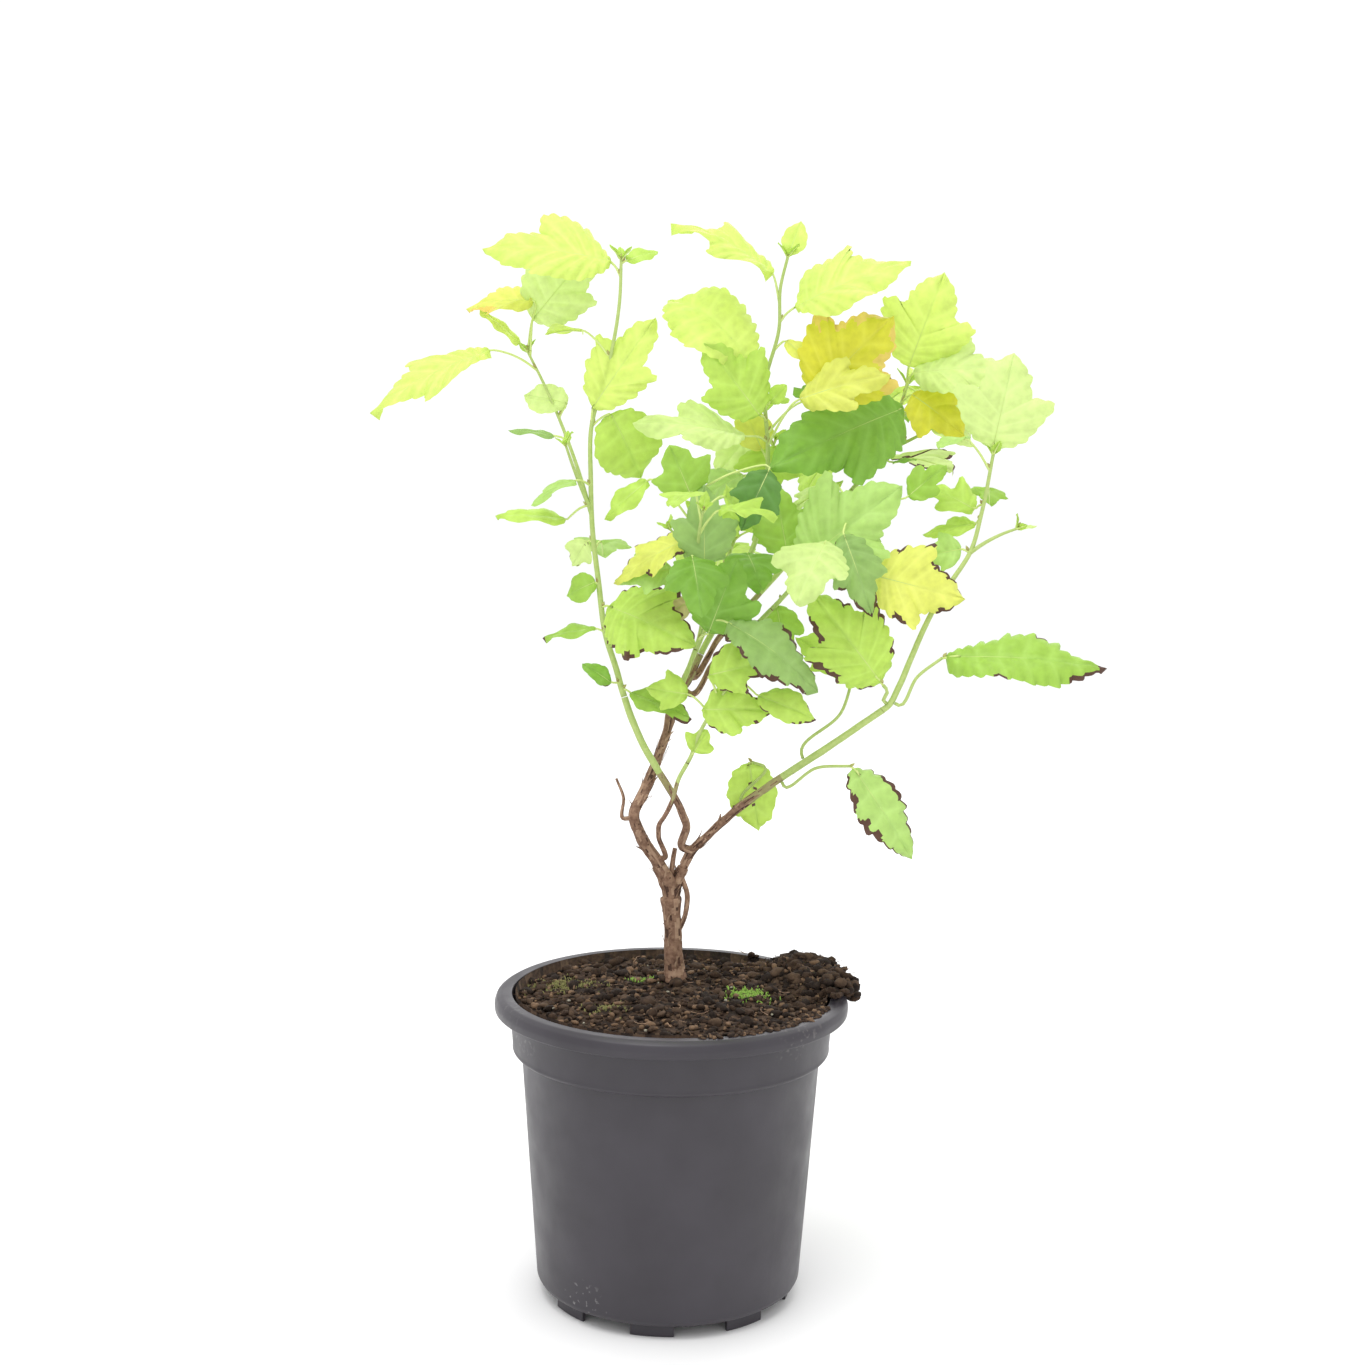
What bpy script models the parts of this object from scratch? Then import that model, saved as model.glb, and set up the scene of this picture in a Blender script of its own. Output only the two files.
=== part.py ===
"""A potted golden ninebark: a young open shrub in a black nursery pot. Metres, +Z up.

The origin is the centre of the pot's flat underside. From the front, +X is to the right and +Y points away.
The plant is one trunk, boughs that each taper to the place where they enter the foliage, and one mass of twigs
and leaves on each leafy shoot. Single leaves on the arching bough are sprays of their own.
"""
import math
import random

import bmesh
import bpy
from mathutils import Matrix, Vector
from mathutils.bvhtree import BVHTree

MM = 0.001
UP = Vector((0.0, 0.0, 1.0))

# Pot
POT_HEIGHT = 0.148
LIP_RADIUS = 0.085
LIP_DEPTH = 0.0080
MOUTH_RADIUS = 0.0766
COLLAR_RADIUS = 0.0772
COLLAR_FOOT = 0.1213
LEDGE_RADIUS = 0.0762
BODY_TOP_RADIUS = 0.0719
BODY_FOOT_RADIUS = 0.0640
BODY_FOOT = 0.0090
FOOT_RING_RADIUS = 0.0594
FOOT_RING_WIDTH = 0.0018
FLOOR_UNDERSIDE = 0.0055
FLOOR_TOP = 0.0073
WALL = 0.0017
CENTRE_FOOT_RADIUS = 0.0120
POT_SEGMENTS = 48
NOTCH_COUNT = 8
NOTCH_FIRST = math.radians(-90 + 15.8)
NOTCH_ANGLE = math.radians(25)
NOTCH_HEIGHT = 0.0052

# Soil
GAP = 0.00035
SOIL_EDGE = 0.1432
SOIL_FLAT = 0.14865
SOIL_FLAT_RADIUS = 0.024
TRUNK_FOOT = 0.1490
TRUNK_X = 0.002
TRUNK_Y = 0.015
SPILL_HEADING = math.radians(22)
SPILL_WIDTH = math.radians(36)
SPILL_REACH = 0.0105
SPILL_HEIGHT = 0.0125
SOIL_RINGS = (0.93, 0.74, 0.54, 0.34, 0.16)
SOIL_SEED = 7

# Limbs and leaves
TRUNK_RADII = (0.0045, 0.0040)
TRUNK_FLARE = 0.0012
FORK_LEFT_RADII = (0.0038, 0.0031)
FORK_RIGHT_RADII = (0.0036, 0.0028)
SIDE_STEM_RADII = (0.0012, 0.0012)
DEAD_STUB_RADII = (0.0014, 0.0009)
LIMB_SIDES = 7
LIMB_STEP = 0.007
TWIG_SIDES = 4
TWIG_STEP = 0.016
TWIG_RADII = (0.0010, 0.0006)
PETIOLE_SIDES = 3
PETIOLE_RADIUS = 0.00075
LEAF_THICKNESS = 0.022
LEAF_CLEARANCE = 0.0006
LEAF_ROOT = 0.28
LEAF_FOLD = 14.0
TURN_PER_LEAF = 144.0
FLARE_FALL = 0.006
UNION_SOLVER = "MANIFOLD"

WOOD_BROWN = (0.19, 0.11, 0.07)
SHOOT_GREEN = (0.36, 0.46, 0.16)
LEAF_LIME = (0.52, 0.70, 0.08)
LEAF_MID = (0.33, 0.52, 0.06)
LEAF_YELLOW = (0.66, 0.70, 0.10)
POT_BLACK = (0.045, 0.043, 0.050)
SOIL_BROWN = (0.045, 0.028, 0.018)

# Half outlines of a leaf blade: how far along the midrib, and how far out as a share of half the width
LOBED_OUTLINE = ((0.10, 0.42), (0.32, 0.84), (0.56, 1.00), (0.61, 0.60), (0.75, 0.48), (0.90, 0.24))
LOBED_MIDRIB = (0.30, 0.68)
OVAL_OUTLINE = ((0.12, 0.58), (0.38, 1.00), (0.70, 0.76))
OVAL_MIDRIB = (0.50,)

# Limbs: waypoints, then the radius at the start and at the end
TRUNK_WAY = ((TRUNK_X, TRUNK_Y, TRUNK_FOOT), (0.0005, 0.014, 0.163), (0.000, 0.013, 0.177), (-0.001, 0.0126, 0.191))
FORK_LEFT_WAY = ((-0.001, 0.0126, 0.187), (-0.0025, 0.0112, 0.198), (-0.0070, 0.0086, 0.2075))
FORK_RIGHT_WAY = ((-0.001, 0.0126, 0.187), (0.0010, 0.0130, 0.197), (0.0048, 0.0130, 0.2055))
SIDE_STEM_WAY = ((0.0034, 0.0132, 0.202), (0.0068, 0.0118, 0.193), (0.0062, 0.0118, 0.183), (0.0020, 0.0130, 0.172))
DEAD_STUB_WAY = ((-0.0010, 0.0120, 0.197), (-0.0006, 0.0112, 0.206), (0.0006, 0.0106, 0.2155))
LIMBS = {
    "bough_left": dict(
        on=("trunk_fork_left", 1.0),
        way=((-0.012, 0.005, 0.216), (-0.0165, 0.000, 0.225), (-0.0190, -0.003, 0.235), (-0.0150, -0.003, 0.244),
             (-0.010, 0.000, 0.256), (-0.005, 0.002, 0.270), (-0.001, 0.002, 0.287), (0.006, 0.000, 0.299),
             (0.0115, 0.000, 0.311)),
        radii=(0.0031, 0.0016)),
    "bough_right": dict(
        on=("trunk_fork_right", 1.0),
        way=((0.0088, 0.0118, 0.214), (0.0155, 0.006, 0.222), (0.028, -0.003, 0.236), (0.045, -0.012, 0.251),
             (0.073, -0.025, 0.273), (0.095, -0.031, 0.290)),
        radii=(0.0028, 0.0015)),
    "bough_right_outer": dict(
        on=("bough_right", 1.0),
        way=((0.102, -0.032, 0.301), (0.1075, -0.030, 0.314), (0.113, -0.028, 0.327), (0.1195, -0.026, 0.340)),
        radii=(0.00145, 0.0012)),
    "bough_left_shoot": dict(
        on=("bough_right", 0.07),
        way=((0.006, 0.004, 0.228), (0.003, -0.001, 0.237), (-0.008, -0.008, 0.257), (-0.016, -0.009, 0.271),
             (-0.0215, -0.008, 0.284), (-0.024, -0.007, 0.291)),
        radii=(0.0024, 0.0016)),
    "bough_thin": dict(
        on=("bough_left", 0.03),
        way=((-0.0072, -0.003, 0.224), (-0.0070, -0.007, 0.230), (-0.004, -0.011, 0.236), (-0.001, -0.014, 0.243),
             (0.002, -0.016, 0.254), (0.006, -0.018, 0.262)),
        radii=(0.0012, 0.0010)),
    "bough_back_right": dict(
        on=("bough_left", 0.90),
        way=((0.020, 0.007, 0.318), (0.036, 0.016, 0.335), (0.058, 0.026, 0.359), (0.084, 0.038, 0.388)),
        radii=(0.0014, 0.0012)),
    "bough_back": dict(
        on=("bough_left", 0.66),
        way=((0.002, 0.014, 0.293), (0.008, 0.027, 0.306), (0.015, 0.038, 0.322)),
        radii=(0.0013, 0.0011)),
    "bough_front": dict(
        on=("bough_left", 0.76),
        way=((0.005, -0.010, 0.303), (0.009, -0.014, 0.315)),
        radii=(0.0012, 0.0011)),
    "bough_mid_right": dict(
        on=("bough_left", 0.84),
        way=((0.018, -0.004, 0.308), (0.030, -0.009, 0.319), (0.044, -0.013, 0.334)),
        radii=(0.0013, 0.0011)),
    "dead_twig": dict(
        on=("bough_left", 0.26),
        way=((-0.0240, -0.005, 0.243), (-0.0275, -0.005, 0.252)),
        radii=(0.0009, 0.0006)),
}

# Each foliage mass: the limb that carries it, its stem, its placed twigs and leaves, and the seeded rule's sizes.
# A twig row has its name, its place on the stem, its length, and its heading and rise at the start and at the end.
# A leaf row has its name, what carries it and where, the petiole (length, heading, rise), the blade (length,
# heading, rise), its width for its length, how far its face tips from the sky to the front, its curl and its kind.
# Headings are degrees from +X towards +Y, and rises are degrees above the level.
MASSES = {
    "foliage_left": dict(
        on=("bough_left_shoot", 1.0),
        way=((-0.028, -0.005, 0.304), (-0.033, -0.003, 0.319), (-0.037, 0.000, 0.345), (-0.040, 0.000, 0.369),
             (-0.041, 0.000, 0.393), (-0.041, 0.000, 0.416), (-0.033, -0.004, 0.445), (-0.028, -0.008, 0.475),
             (-0.0275, -0.008, 0.493)),
        radii=(0.0015, 0.0007),
        twigs=(("outer", 0.42, 0.084, (150, 72), (155, 58)),
               ("dead_tip", 0.43, 0.034, (212, 62), (225, 66))),
        leaves=(("top_left", "stem", 0.96, (9, 150, 55), (60, 188, 14), 0.80, 42, 25, "lobed"),
                ("top_small", "stem", 0.99, (3, 10, 30), (17, 22, 25), 0.60, 40, 20, "oval"),
                ("upright", "stem", 0.62, (9, 280, 75), (51, 345, 55), 0.62, 75, 10, "lobed"),
                ("round", "stem", 0.62, (11, 0, 35), (38, 15, -60), 0.90, 70, 40, "oval"),
                ("big_bright", "stem", 0.21, (6, 310, 10), (50, 322, -12), 0.85, 60, 20, "lobed"),
                ("low_a", "stem", 0.26, (3, 220, 40), (17, 165, -22), 0.90, 60, 20, "oval"),
                ("dark_end", "stem", 0.15, (5, 190, 30), (27, 170, -5), 0.50, 20, 15, "oval"),
                ("low_b", "stem", 0.03, (5, 215, 10), (17, 205, 38), 0.55, 50, 20, "oval"),
                ("dark_ends", "stem", 0.02, (5, 330, -20), (33, 336, -12), 0.42, 30, 15, "oval"),
                ("spotted", "stem", 0.36, (4, 150, 10), (16, 150, -55), 0.90, 70, 15, "lobed"),
                ("left_edge", "dead_tip", 0.10, (13, 200, -32), (33, 190, 12), 0.50, 20, 20, "oval"),
                ("big_pale", "outer", 1.00, (15, 315, 78), (46, 345, 50), 0.85, 75, 15, "lobed"),
                ("orange", "outer", 0.97, (26, 292, 80), (36, 170, 8), 0.60, 40, 35, "lobed"),
                ("slender_up", "outer", 0.99, (6, 180, 50), (26, 168, 45), 0.35, 15, 15, "oval"),
                ("far_left", "outer", 0.88, (24, 187, 22), (64, 193, -17), 0.55, 25, 25, "lobed"),
                ("small_mid", "outer", 0.58, (8, 20, 60), (23, 168, 15), 0.75, 60, 20, "oval"),
                ("slender_low", "outer", 0.44, (7, 168, 20), (23, 170, 13), 0.35, 15, 15, "oval")),
        space=((-0.045, 0.010, 0.400), (0.070, 0.055, 0.115)),
        seeded=dict(seed=11, twigs=0, leaves=6, blade=(0.030, 0.018), twig=(0.0, 0.0))),
    "foliage_centre": dict(
        on=("bough_left", 1.0),
        way=((0.023, 0.004, 0.332), (0.033, 0.010, 0.354), (0.041, 0.013, 0.380), (0.042, 0.014, 0.408),
             (0.040, 0.012, 0.438), (0.046, 0.009, 0.464), (0.046, 0.004, 0.482), (0.049, 0.000, 0.496)),
        radii=(0.0015, 0.0007),
        twigs=(),
        leaves=(("centre_top", "stem", 0.88, (15, 228, 70), (54, 188, 42), 0.55, 25, 38, "lobed"),
                ("top_tiny", "stem", 0.99, (3, 300, 60), (17, 22, 70), 0.70, 60, 10, "oval"),
                ("arched", "stem", 0.69, (14, 217, 45), (60, 193, 56), 0.62, 50, 82, "oval"),
                ("lobed_left", "stem", 0.60, (10, 250, 15), (43, 205, 50), 0.85, 70, 15, "lobed"),
                ("pale_left", "stem", 0.55, (15, 222, 10), (54, 196, 16), 0.60, 35, 25, "lobed"),
                ("small_right", "stem", 0.63, (5, 305, 40), (12, 320, 42), 0.80, 60, 10, "oval"),
                ("top_right", "stem", 0.84, (10, 345, 45), (58, 350, 30), 0.90, 34, 20, "lobed"),
                ("yellow_bit", "stem", 0.77, (8, 342, 40), (15, 330, -35), 0.60, 50, 20, "oval"),
                ("amber", "stem", 0.57, (29, 331, 38), (53, 350, 46), 0.92, 75, 15, "lobed"),
                ("pale_yellow", "stem", 0.54, (31, 308, 45), (44, 338, 20), 0.65, 60, 20, "lobed"),
                ("yellow_back", "stem", 0.50, (8, 120, 48), (24, 150, 64), 0.80, 60, 15, "oval")),
        space=((0.045, 0.012, 0.405), (0.062, 0.060, 0.105)),
        seeded=dict(seed=23, twigs=0, leaves=10, blade=(0.044, 0.024), twig=(0.0, 0.0))),
    "foliage_back_right": dict(
        on=("bough_back_right", 1.0),
        way=((0.092, 0.042, 0.401), (0.101, 0.045, 0.414), (0.108, 0.048, 0.430), (0.111, 0.049, 0.440)),
        radii=(0.0012, 0.0008),
        twigs=(),
        leaves=(("green_back", "stem", 0.74, (16, 275, 10), (80, 215, -17), 0.70, 65, 15, "lobed"),
                ("yellow_right", "stem", 0.83, (8, 313, 35), (34, 328, -30), 0.95, 60, 20, "lobed"),
                ("lime_lobed", "stem", 0.97, (12, 270, 53), (48, 325, 68), 0.92, 75, 15, "lobed"),
                ("pale_right", "stem", 0.90, (14, 290, 50), (50, 340, 8), 0.62, 60, 20, "lobed"),
                ("little", "stem", 0.30, (12, 327, -5), (13, 330, 12), 0.45, 20, 10, "oval")),
        space=((0.095, 0.062, 0.412), (0.062, 0.052, 0.072)),
        seeded=dict(seed=31, twigs=2, leaves=9, blade=(0.048, 0.030), twig=(0.030, 0.045))),
    "foliage_right_tip": dict(
        on=("bough_right_outer", 1.0),
        way=((0.127, -0.024, 0.351), (0.134, -0.022, 0.362), (0.139, -0.020, 0.380), (0.1435, -0.020, 0.407)),
        radii=(0.0012, 0.0008),
        twigs=(("thin", 0.36, 0.024, (350, 40), (358, 18)),),
        leaves=(("fan", "stem", 0.98, (4, 250, 80), (44, 322, 77), 1.00, 80, 10, "lobed"),
                ("bud_side", "stem", 0.68, (7, 120, -20), (27, 150, 28), 0.75, 55, 20, "lobed"),
                ("lower", "stem", 0.58, (6, 100, -20), (29, 150, -5), 0.50, 45, 20, "lobed"),
                ("notched", "stem", 0.36, (5, 145, 20), (18, 155, -12), 1.05, 70, 10, "lobed"),
                ("thin_leaf", "thin", 0.98, (2, 0, 15), (8, 0, 12), 0.35, 30, 10, "oval")),
        space=((0.132, -0.018, 0.385), (0.040, 0.040, 0.050)),
        seeded=dict(seed=43, twigs=0, leaves=4, blade=(0.026, 0.018), twig=(0.0, 0.0))),
    "foliage_mid_right": dict(
        on=("bough_mid_right", 1.0),
        way=((0.056, -0.016, 0.348), (0.070, -0.019, 0.364), (0.082, -0.021, 0.382)),
        radii=(0.0011, 0.0007),
        twigs=(),
        leaves=(("veined", "stem", 0.35, (10, 265, 40), (57, 346, 40), 0.82, 70, 15, "lobed"),
                ("grey_down", "stem", 0.88, (16, 258, -20), (40, 318, -62), 0.65, 65, 20, "lobed"),
                ("two_lobe", "stem", 0.98, (28, 25, 12), (23, 338, 42), 0.75, 60, 15, "lobed"),
                ("yellow_scorched", "stem", 0.72, (24, -25, -42), (44, 350, -12), 0.95, 75, 10, "lobed"),
                ("green_up", "stem", 0.30, (14, 123, 50), (34, 227, 74), 0.85, 70, 15, "lobed"),
                ("down_green", "stem", 0.10, (10, 100, -20), (26, 310, -72), 0.85, 70, 20, "lobed")),
        space=((0.080, -0.020, 0.362), (0.066, 0.050, 0.066)),
        seeded=dict(seed=59, twigs=1, leaves=9, blade=(0.044, 0.028), twig=(0.028, 0.040))),
    "foliage_front": dict(
        on=("bough_front", 1.0),
        way=((0.012, -0.017, 0.330), (0.010, -0.019, 0.350), (0.008, -0.020, 0.375), (0.009, -0.021, 0.398)),
        radii=(0.0011, 0.0007),
        twigs=(),
        leaves=(("two_lobe_top", "stem", 0.90, (6, 240, -40), (26, 211, 63), 1.10, 75, 10, "lobed"),
                ("grey", "stem", 0.45, (8, 290, 13), (38, 264, 80), 0.75, 65, 15, "lobed"),
                ("dark_blue", "stem", 0.88, (35, 350, 18), (31, 214, -60), 0.72, 70, 20, "lobed"),
                ("mid_green", "stem", 0.05, (13, 291, 20), (38, 318, 65), 0.95, 75, 15, "lobed"),
                ("yellow_edge", "stem", 0.62, (5, 218, 5), (40, 190, -22), 0.55, 35, 25, "lobed"),
                ("light_low", "stem", 0.42, (12, 183, 14), (28, 197, -5), 0.75, 55, 20, "lobed"),
                ("pinkish", "stem", 0.25, (8, 140, 10), (27, 195, -26), 0.70, 50, 20, "lobed"),
                ("folded", "stem", 0.68, (32, 160, 42), (27, 191, -38), 0.45, 45, 15, "oval"),
                ("pale_droop", "stem", 0.12, (24, 300, 12), (53, 345, -24), 0.50, 40, 35, "oval")),
        space=((0.004, -0.038, 0.355), (0.052, 0.044, 0.060)),
        seeded=dict(seed=68, twigs=1, leaves=7, blade=(0.038, 0.024), twig=(0.026, 0.036))),
    "foliage_low_front": dict(
        on=("bough_thin", 1.0),
        way=((0.011, -0.023, 0.276), (0.018, -0.029, 0.290), (0.026, -0.034, 0.304), (0.031, -0.037, 0.316)),
        radii=(0.0010, 0.0007),
        twigs=(),
        leaves=(("pair", "stem", 0.06, (3, 300, 40), (13, 330, 58), 1.20, 75, 10, "lobed"),
                ("dark_tip_a", "stem", 0.40, (8, 245, 40), (33, 345, 5), 0.80, 60, 15, "lobed"),
                ("dark_tip_b", "stem", 0.78, (14, 345, -30), (29, 343, -15), 0.62, 45, 15, "oval"),
                ("bright_edge", "stem", 0.58, (14, 225, 60), (29, 347, 16), 0.90, 65, 10, "lobed"),
                ("square", "stem", 0.44, (14, 161, 40), (20, 174, 8), 0.95, 70, 10, "lobed")),
        space=((0.026, -0.036, 0.300), (0.042, 0.040, 0.034)),
        seeded=dict(seed=71, twigs=0, leaves=5, blade=(0.030, 0.020), twig=(0.0, 0.0))),
    "foliage_back": dict(
        on=("bough_back", 1.0),
        way=((0.022, 0.050, 0.345), (0.030, 0.058, 0.368), (0.040, 0.064, 0.392), (0.048, 0.068, 0.412)),
        radii=(0.0011, 0.0007),
        twigs=(),
        leaves=(),
        space=((0.050, 0.068, 0.372), (0.068, 0.056, 0.078)),
        seeded=dict(seed=83, twigs=4, leaves=12, blade=(0.050, 0.032), twig=(0.034, 0.052))),
    "spray_front": dict(
        on=("bough_right", 0.36),
        way=((0.043, -0.002, 0.258), (0.037, 0.002, 0.2595)),
        radii=(0.0008, 0.0007),
        twigs=(),
        leaves=(("front_leaf", "stem", 0.98, (2, 180, 0), (34, 335, -80), 0.70, 85, 15, "oval"),),
        space=None,
        seeded=None),
    "spray_hanging": dict(
        on=("bough_right", 0.55),
        way=((0.066, -0.026, 0.262), (0.081, -0.032, 0.264)),
        radii=(0.0008, 0.0007),
        twigs=(),
        leaves=(("hanging", "stem", 0.98, (2, 335, -20), (51, 337, -50), 0.42, 60, 25, "oval"),),
        space=None,
        seeded=None),
    "spray_far_right": dict(
        on=("bough_right_outer", 0.10),
        way=((0.110, -0.035, 0.306), (0.121, -0.036, 0.315)),
        radii=(0.0008, 0.0007),
        twigs=(),
        leaves=(("far_right", "stem", 0.98, (2, 350, 20), (73, 349, 5), 0.36, 40, 20, "oval"),),
        space=None,
        seeded=None),
    "spray_scorched": dict(
        on=("bough_right_outer", 0.06),
        way=((0.0965, -0.035, 0.2995), (0.0945, -0.036, 0.302)),
        radii=(0.0009, 0.0008),
        twigs=(),
        leaves=(("scorched_mid", "stem", 0.95, (2, 176, 50), (53, 176, 53), 0.78, 65, 15, "lobed"),),
        space=None,
        seeded=None),
    "spray_upright": dict(
        on=("bough_right", 0.66),
        way=((0.0770, -0.023, 0.288), (0.0825, -0.020, 0.306)),
        radii=(0.0008, 0.0007),
        twigs=(),
        leaves=(("upright_behind", "stem", 0.98, (2, 100, 60), (31, 185, 32), 0.70, 60, 15, "lobed"),),
        space=None,
        seeded=None),
}


# Small geometry helpers

def heading_vector(heading, rise):
    """A unit vector from a heading and a rise in degrees."""
    level = math.cos(math.radians(rise))
    return Vector((
        level * math.cos(math.radians(heading)),
        level * math.sin(math.radians(heading)),
        math.sin(math.radians(rise)),
    ))


def smooth_path(points, per_span=12):
    """Points on a smooth curve through the waypoints, however unevenly they lie."""
    way = [Vector(p) for p in points]
    spans = [(b - a).length for a, b in zip(way, way[1:])]
    slopes = [(b - a) / span for a, b, span in zip(way, way[1:], spans)]
    tangents = [slopes[0]]
    for i in range(1, len(way) - 1):
        share = spans[i - 1] / (spans[i - 1] + spans[i])
        tangents.append(slopes[i - 1].lerp(slopes[i], share))
    tangents.append(slopes[-1])
    out = []
    for i, span in enumerate(spans):
        for k in range(per_span):
            t = k / per_span
            out.append(
                way[i] * (2 * t ** 3 - 3 * t ** 2 + 1)
                + tangents[i] * (span * (t ** 3 - 2 * t ** 2 + t))
                + way[i + 1] * (3 * t ** 2 - 2 * t ** 3)
                + tangents[i + 1] * (span * (t ** 3 - t ** 2))
            )
    out.append(way[-1])
    return out


class Path:
    """A smooth curve that is read by the share of its length."""

    def __init__(self, points):
        self.points = smooth_path(points)
        self.along = [0.0]
        for a, b in zip(self.points, self.points[1:]):
            self.along.append(self.along[-1] + (b - a).length)
        self.length = self.along[-1]

    def at(self, share):
        target = min(max(share, 0.0), 1.0) * self.length
        for i in range(1, len(self.along)):
            if self.along[i] >= target:
                span = self.along[i] - self.along[i - 1]
                t = (target - self.along[i - 1]) / span if span else 0.0
                return self.points[i - 1].lerp(self.points[i], t)
        return self.points[-1].copy()

    def direction(self, share):
        small = 0.01
        return (self.at(share + small) - self.at(share - small)).normalized()


def tube(path, radii, sides, step, flare=0.0, level_start=False):
    """A closed tapering tube round a path, with flat ends. A flare widens its foot."""
    count = max(2, round(path.length / step))
    verts = []
    side = None
    for i in range(count + 1):
        share = i / count
        normal = UP if level_start and i == 0 else path.direction(share)
        side = side or normal.orthogonal()
        side = (side - side.dot(normal) * normal).normalized()
        other = normal.cross(side)
        radius = radii[0] + (radii[1] - radii[0]) * share
        radius += flare * math.exp(-share * path.length / FLARE_FALL)
        for k in range(sides):
            angle = 2 * math.pi * k / sides
            verts.append(path.at(share) + radius * (math.cos(angle) * side + math.sin(angle) * other))
    faces = [tuple(reversed(range(sides)))]
    for i in range(count):
        for k in range(sides):
            a = i * sides + k
            b = i * sides + (k + 1) % sides
            faces.append((a, b, b + sides, a + sides))
    faces.append(tuple(range(count * sides, (count + 1) * sides)))
    return verts, faces


def blade_normal(direction, face):
    """The upper side of a blade: towards the sky, tipped by face degrees towards the front."""
    hint = Vector((0.0, -math.sin(math.radians(face)), math.cos(math.radians(face))))
    flat = hint - hint.dot(direction) * direction
    if flat.length < 0.05:
        flat = direction.orthogonal()
    return flat.normalized()


def blade(base, direction, normal, length, width, curl, kind, grow=0.0):
    """A lobed or oval leaf blade as a thin closed lens that curls down along its midrib."""
    outline, midrib = (LOBED_OUTLINE, LOBED_MIDRIB) if kind == "lobed" else (OVAL_OUTLINE, OVAL_MIDRIB)
    across = direction.cross(normal)
    bend = math.radians(max(curl, 1.0))
    fold = math.tan(math.radians(LEAF_FOLD))
    half_thickness = LEAF_THICKNESS * length / 2 + grow

    def place(along, out, lift):
        reach = (along * (length + 2 * grow) - grow) / length
        turn = bend * reach
        centre = base + direction * (length * math.sin(turn) / bend) - normal * (length * (1 - math.cos(turn)) / bend)
        rise = normal * math.cos(turn) + direction * math.sin(turn)
        return centre + across * out + rise * (abs(out) * fold + lift)

    reach_out = width / 2 + grow
    rim = [(0.0, 0.0)] + [(u, v * reach_out) for u, v in outline] + [(1.0, 0.0)]
    rim += [(u, -v * reach_out) for u, v in reversed(outline)]
    verts = [place(u, v, 0.0) for u, v in rim]
    tops = []
    bottoms = []
    for u in midrib:
        tops.append(len(verts))
        verts.append(place(u, 0.0, half_thickness))
        bottoms.append(len(verts))
        verts.append(place(u, 0.0, -half_thickness))
    tip = len(outline) + 1
    right = list(range(0, tip + 1))
    left = [0] + list(range(len(rim) - 1, tip - 1, -1))
    faces = []
    for edge, flip in ((right, False), (left, True)):
        faces += [tri[::-1] if flip else tri for tri in fan_to_midrib(edge, tops, rim, midrib)]
        faces += [tri if flip else tri[::-1] for tri in fan_to_midrib(edge, bottoms, rim, midrib)]
    return verts, faces


def fan_to_midrib(edge, spine, rim, midrib):
    """Triangles between one edge of a blade and the points of its midrib, each edge point to the nearest."""
    triangles = []
    nearest = [min(range(len(midrib)), key=lambda k: abs(midrib[k] - rim[i][0])) for i in edge]
    nearest[0] = 0
    nearest[-1] = len(midrib) - 1
    for a, b, near_a, near_b in zip(edge, edge[1:], nearest, nearest[1:]):
        triangles.append((a, b, spine[near_a]))
        for k in range(near_a, near_b):
            triangles.append((b, spine[k + 1], spine[k]))
    return triangles


# Turning solids into objects

def tree_of(solid):
    return BVHTree.FromPolygons(solid[0], solid[1], epsilon=0.0)


def mesh_of(name, solid):
    mesh = bpy.data.meshes.new(name)
    mesh.from_pydata([tuple(v) for v in solid[0]], [], solid[1])
    work = bmesh.new()
    work.from_mesh(mesh)
    bmesh.ops.recalc_face_normals(work, faces=work.faces)
    work.to_mesh(mesh)
    work.free()
    return mesh


def material(name, colour, roughness):
    mat = bpy.data.materials.new(name)
    mat.use_nodes = True
    shader = mat.node_tree.nodes["Principled BSDF"]
    shader.inputs["Base Color"].default_value = (*colour, 1.0)
    shader.inputs["Roughness"].default_value = roughness
    return mat


def add_object(name, solid, mat):
    mesh = mesh_of(name, solid)
    mesh.materials.append(mat)
    obj = bpy.data.objects.new(name, mesh)
    bpy.context.scene.collection.objects.link(obj)
    return obj


def largest_body(mesh):
    """Drops loose scraps that a union can leave. Faces are joined where they share an edge."""
    work = bmesh.new()
    work.from_mesh(mesh)
    groups = []
    seen = set()
    for first in work.faces:
        if first in seen:
            continue
        group = {first}
        todo = [first]
        while todo:
            for edge in todo.pop().edges:
                for face in edge.link_faces:
                    if face not in group:
                        group.add(face)
                        todo.append(face)
        seen |= group
        groups.append(group)
    groups.sort(key=len, reverse=True)
    for group in groups[1:]:
        bmesh.ops.delete(work, geom=list(group), context="FACES")
    work.to_mesh(mesh)
    work.free()


def fuse(name, solids, mat):
    """Joins overlapping solids into one closed body by a Boolean union on a collection."""
    whole = add_object(name, solids[0], mat)
    if len(solids) > 1:
        extras = bpy.data.collections.new(name + "_extras")
        bpy.context.scene.collection.children.link(extras)
        for i, solid in enumerate(solids[1:]):
            piece = bpy.data.objects.new(f"{name}_piece_{i}", mesh_of(f"{name}_piece_{i}", solid))
            piece.data.materials.append(mat)
            extras.objects.link(piece)
        union = whole.modifiers.new("Union", "BOOLEAN")
        union.operation = "UNION"
        union.operand_type = "COLLECTION"
        union.collection = extras
        union.solver = UNION_SOLVER
        bpy.context.view_layer.update()
        joined = bpy.data.meshes.new_from_object(whole.evaluated_get(bpy.context.evaluated_depsgraph_get()))
        whole.modifiers.clear()
        whole.data = joined
        for piece in list(extras.objects):
            bpy.data.objects.remove(piece)
        bpy.data.collections.remove(extras)
        largest_body(joined)
    return whole


# Pot

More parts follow.
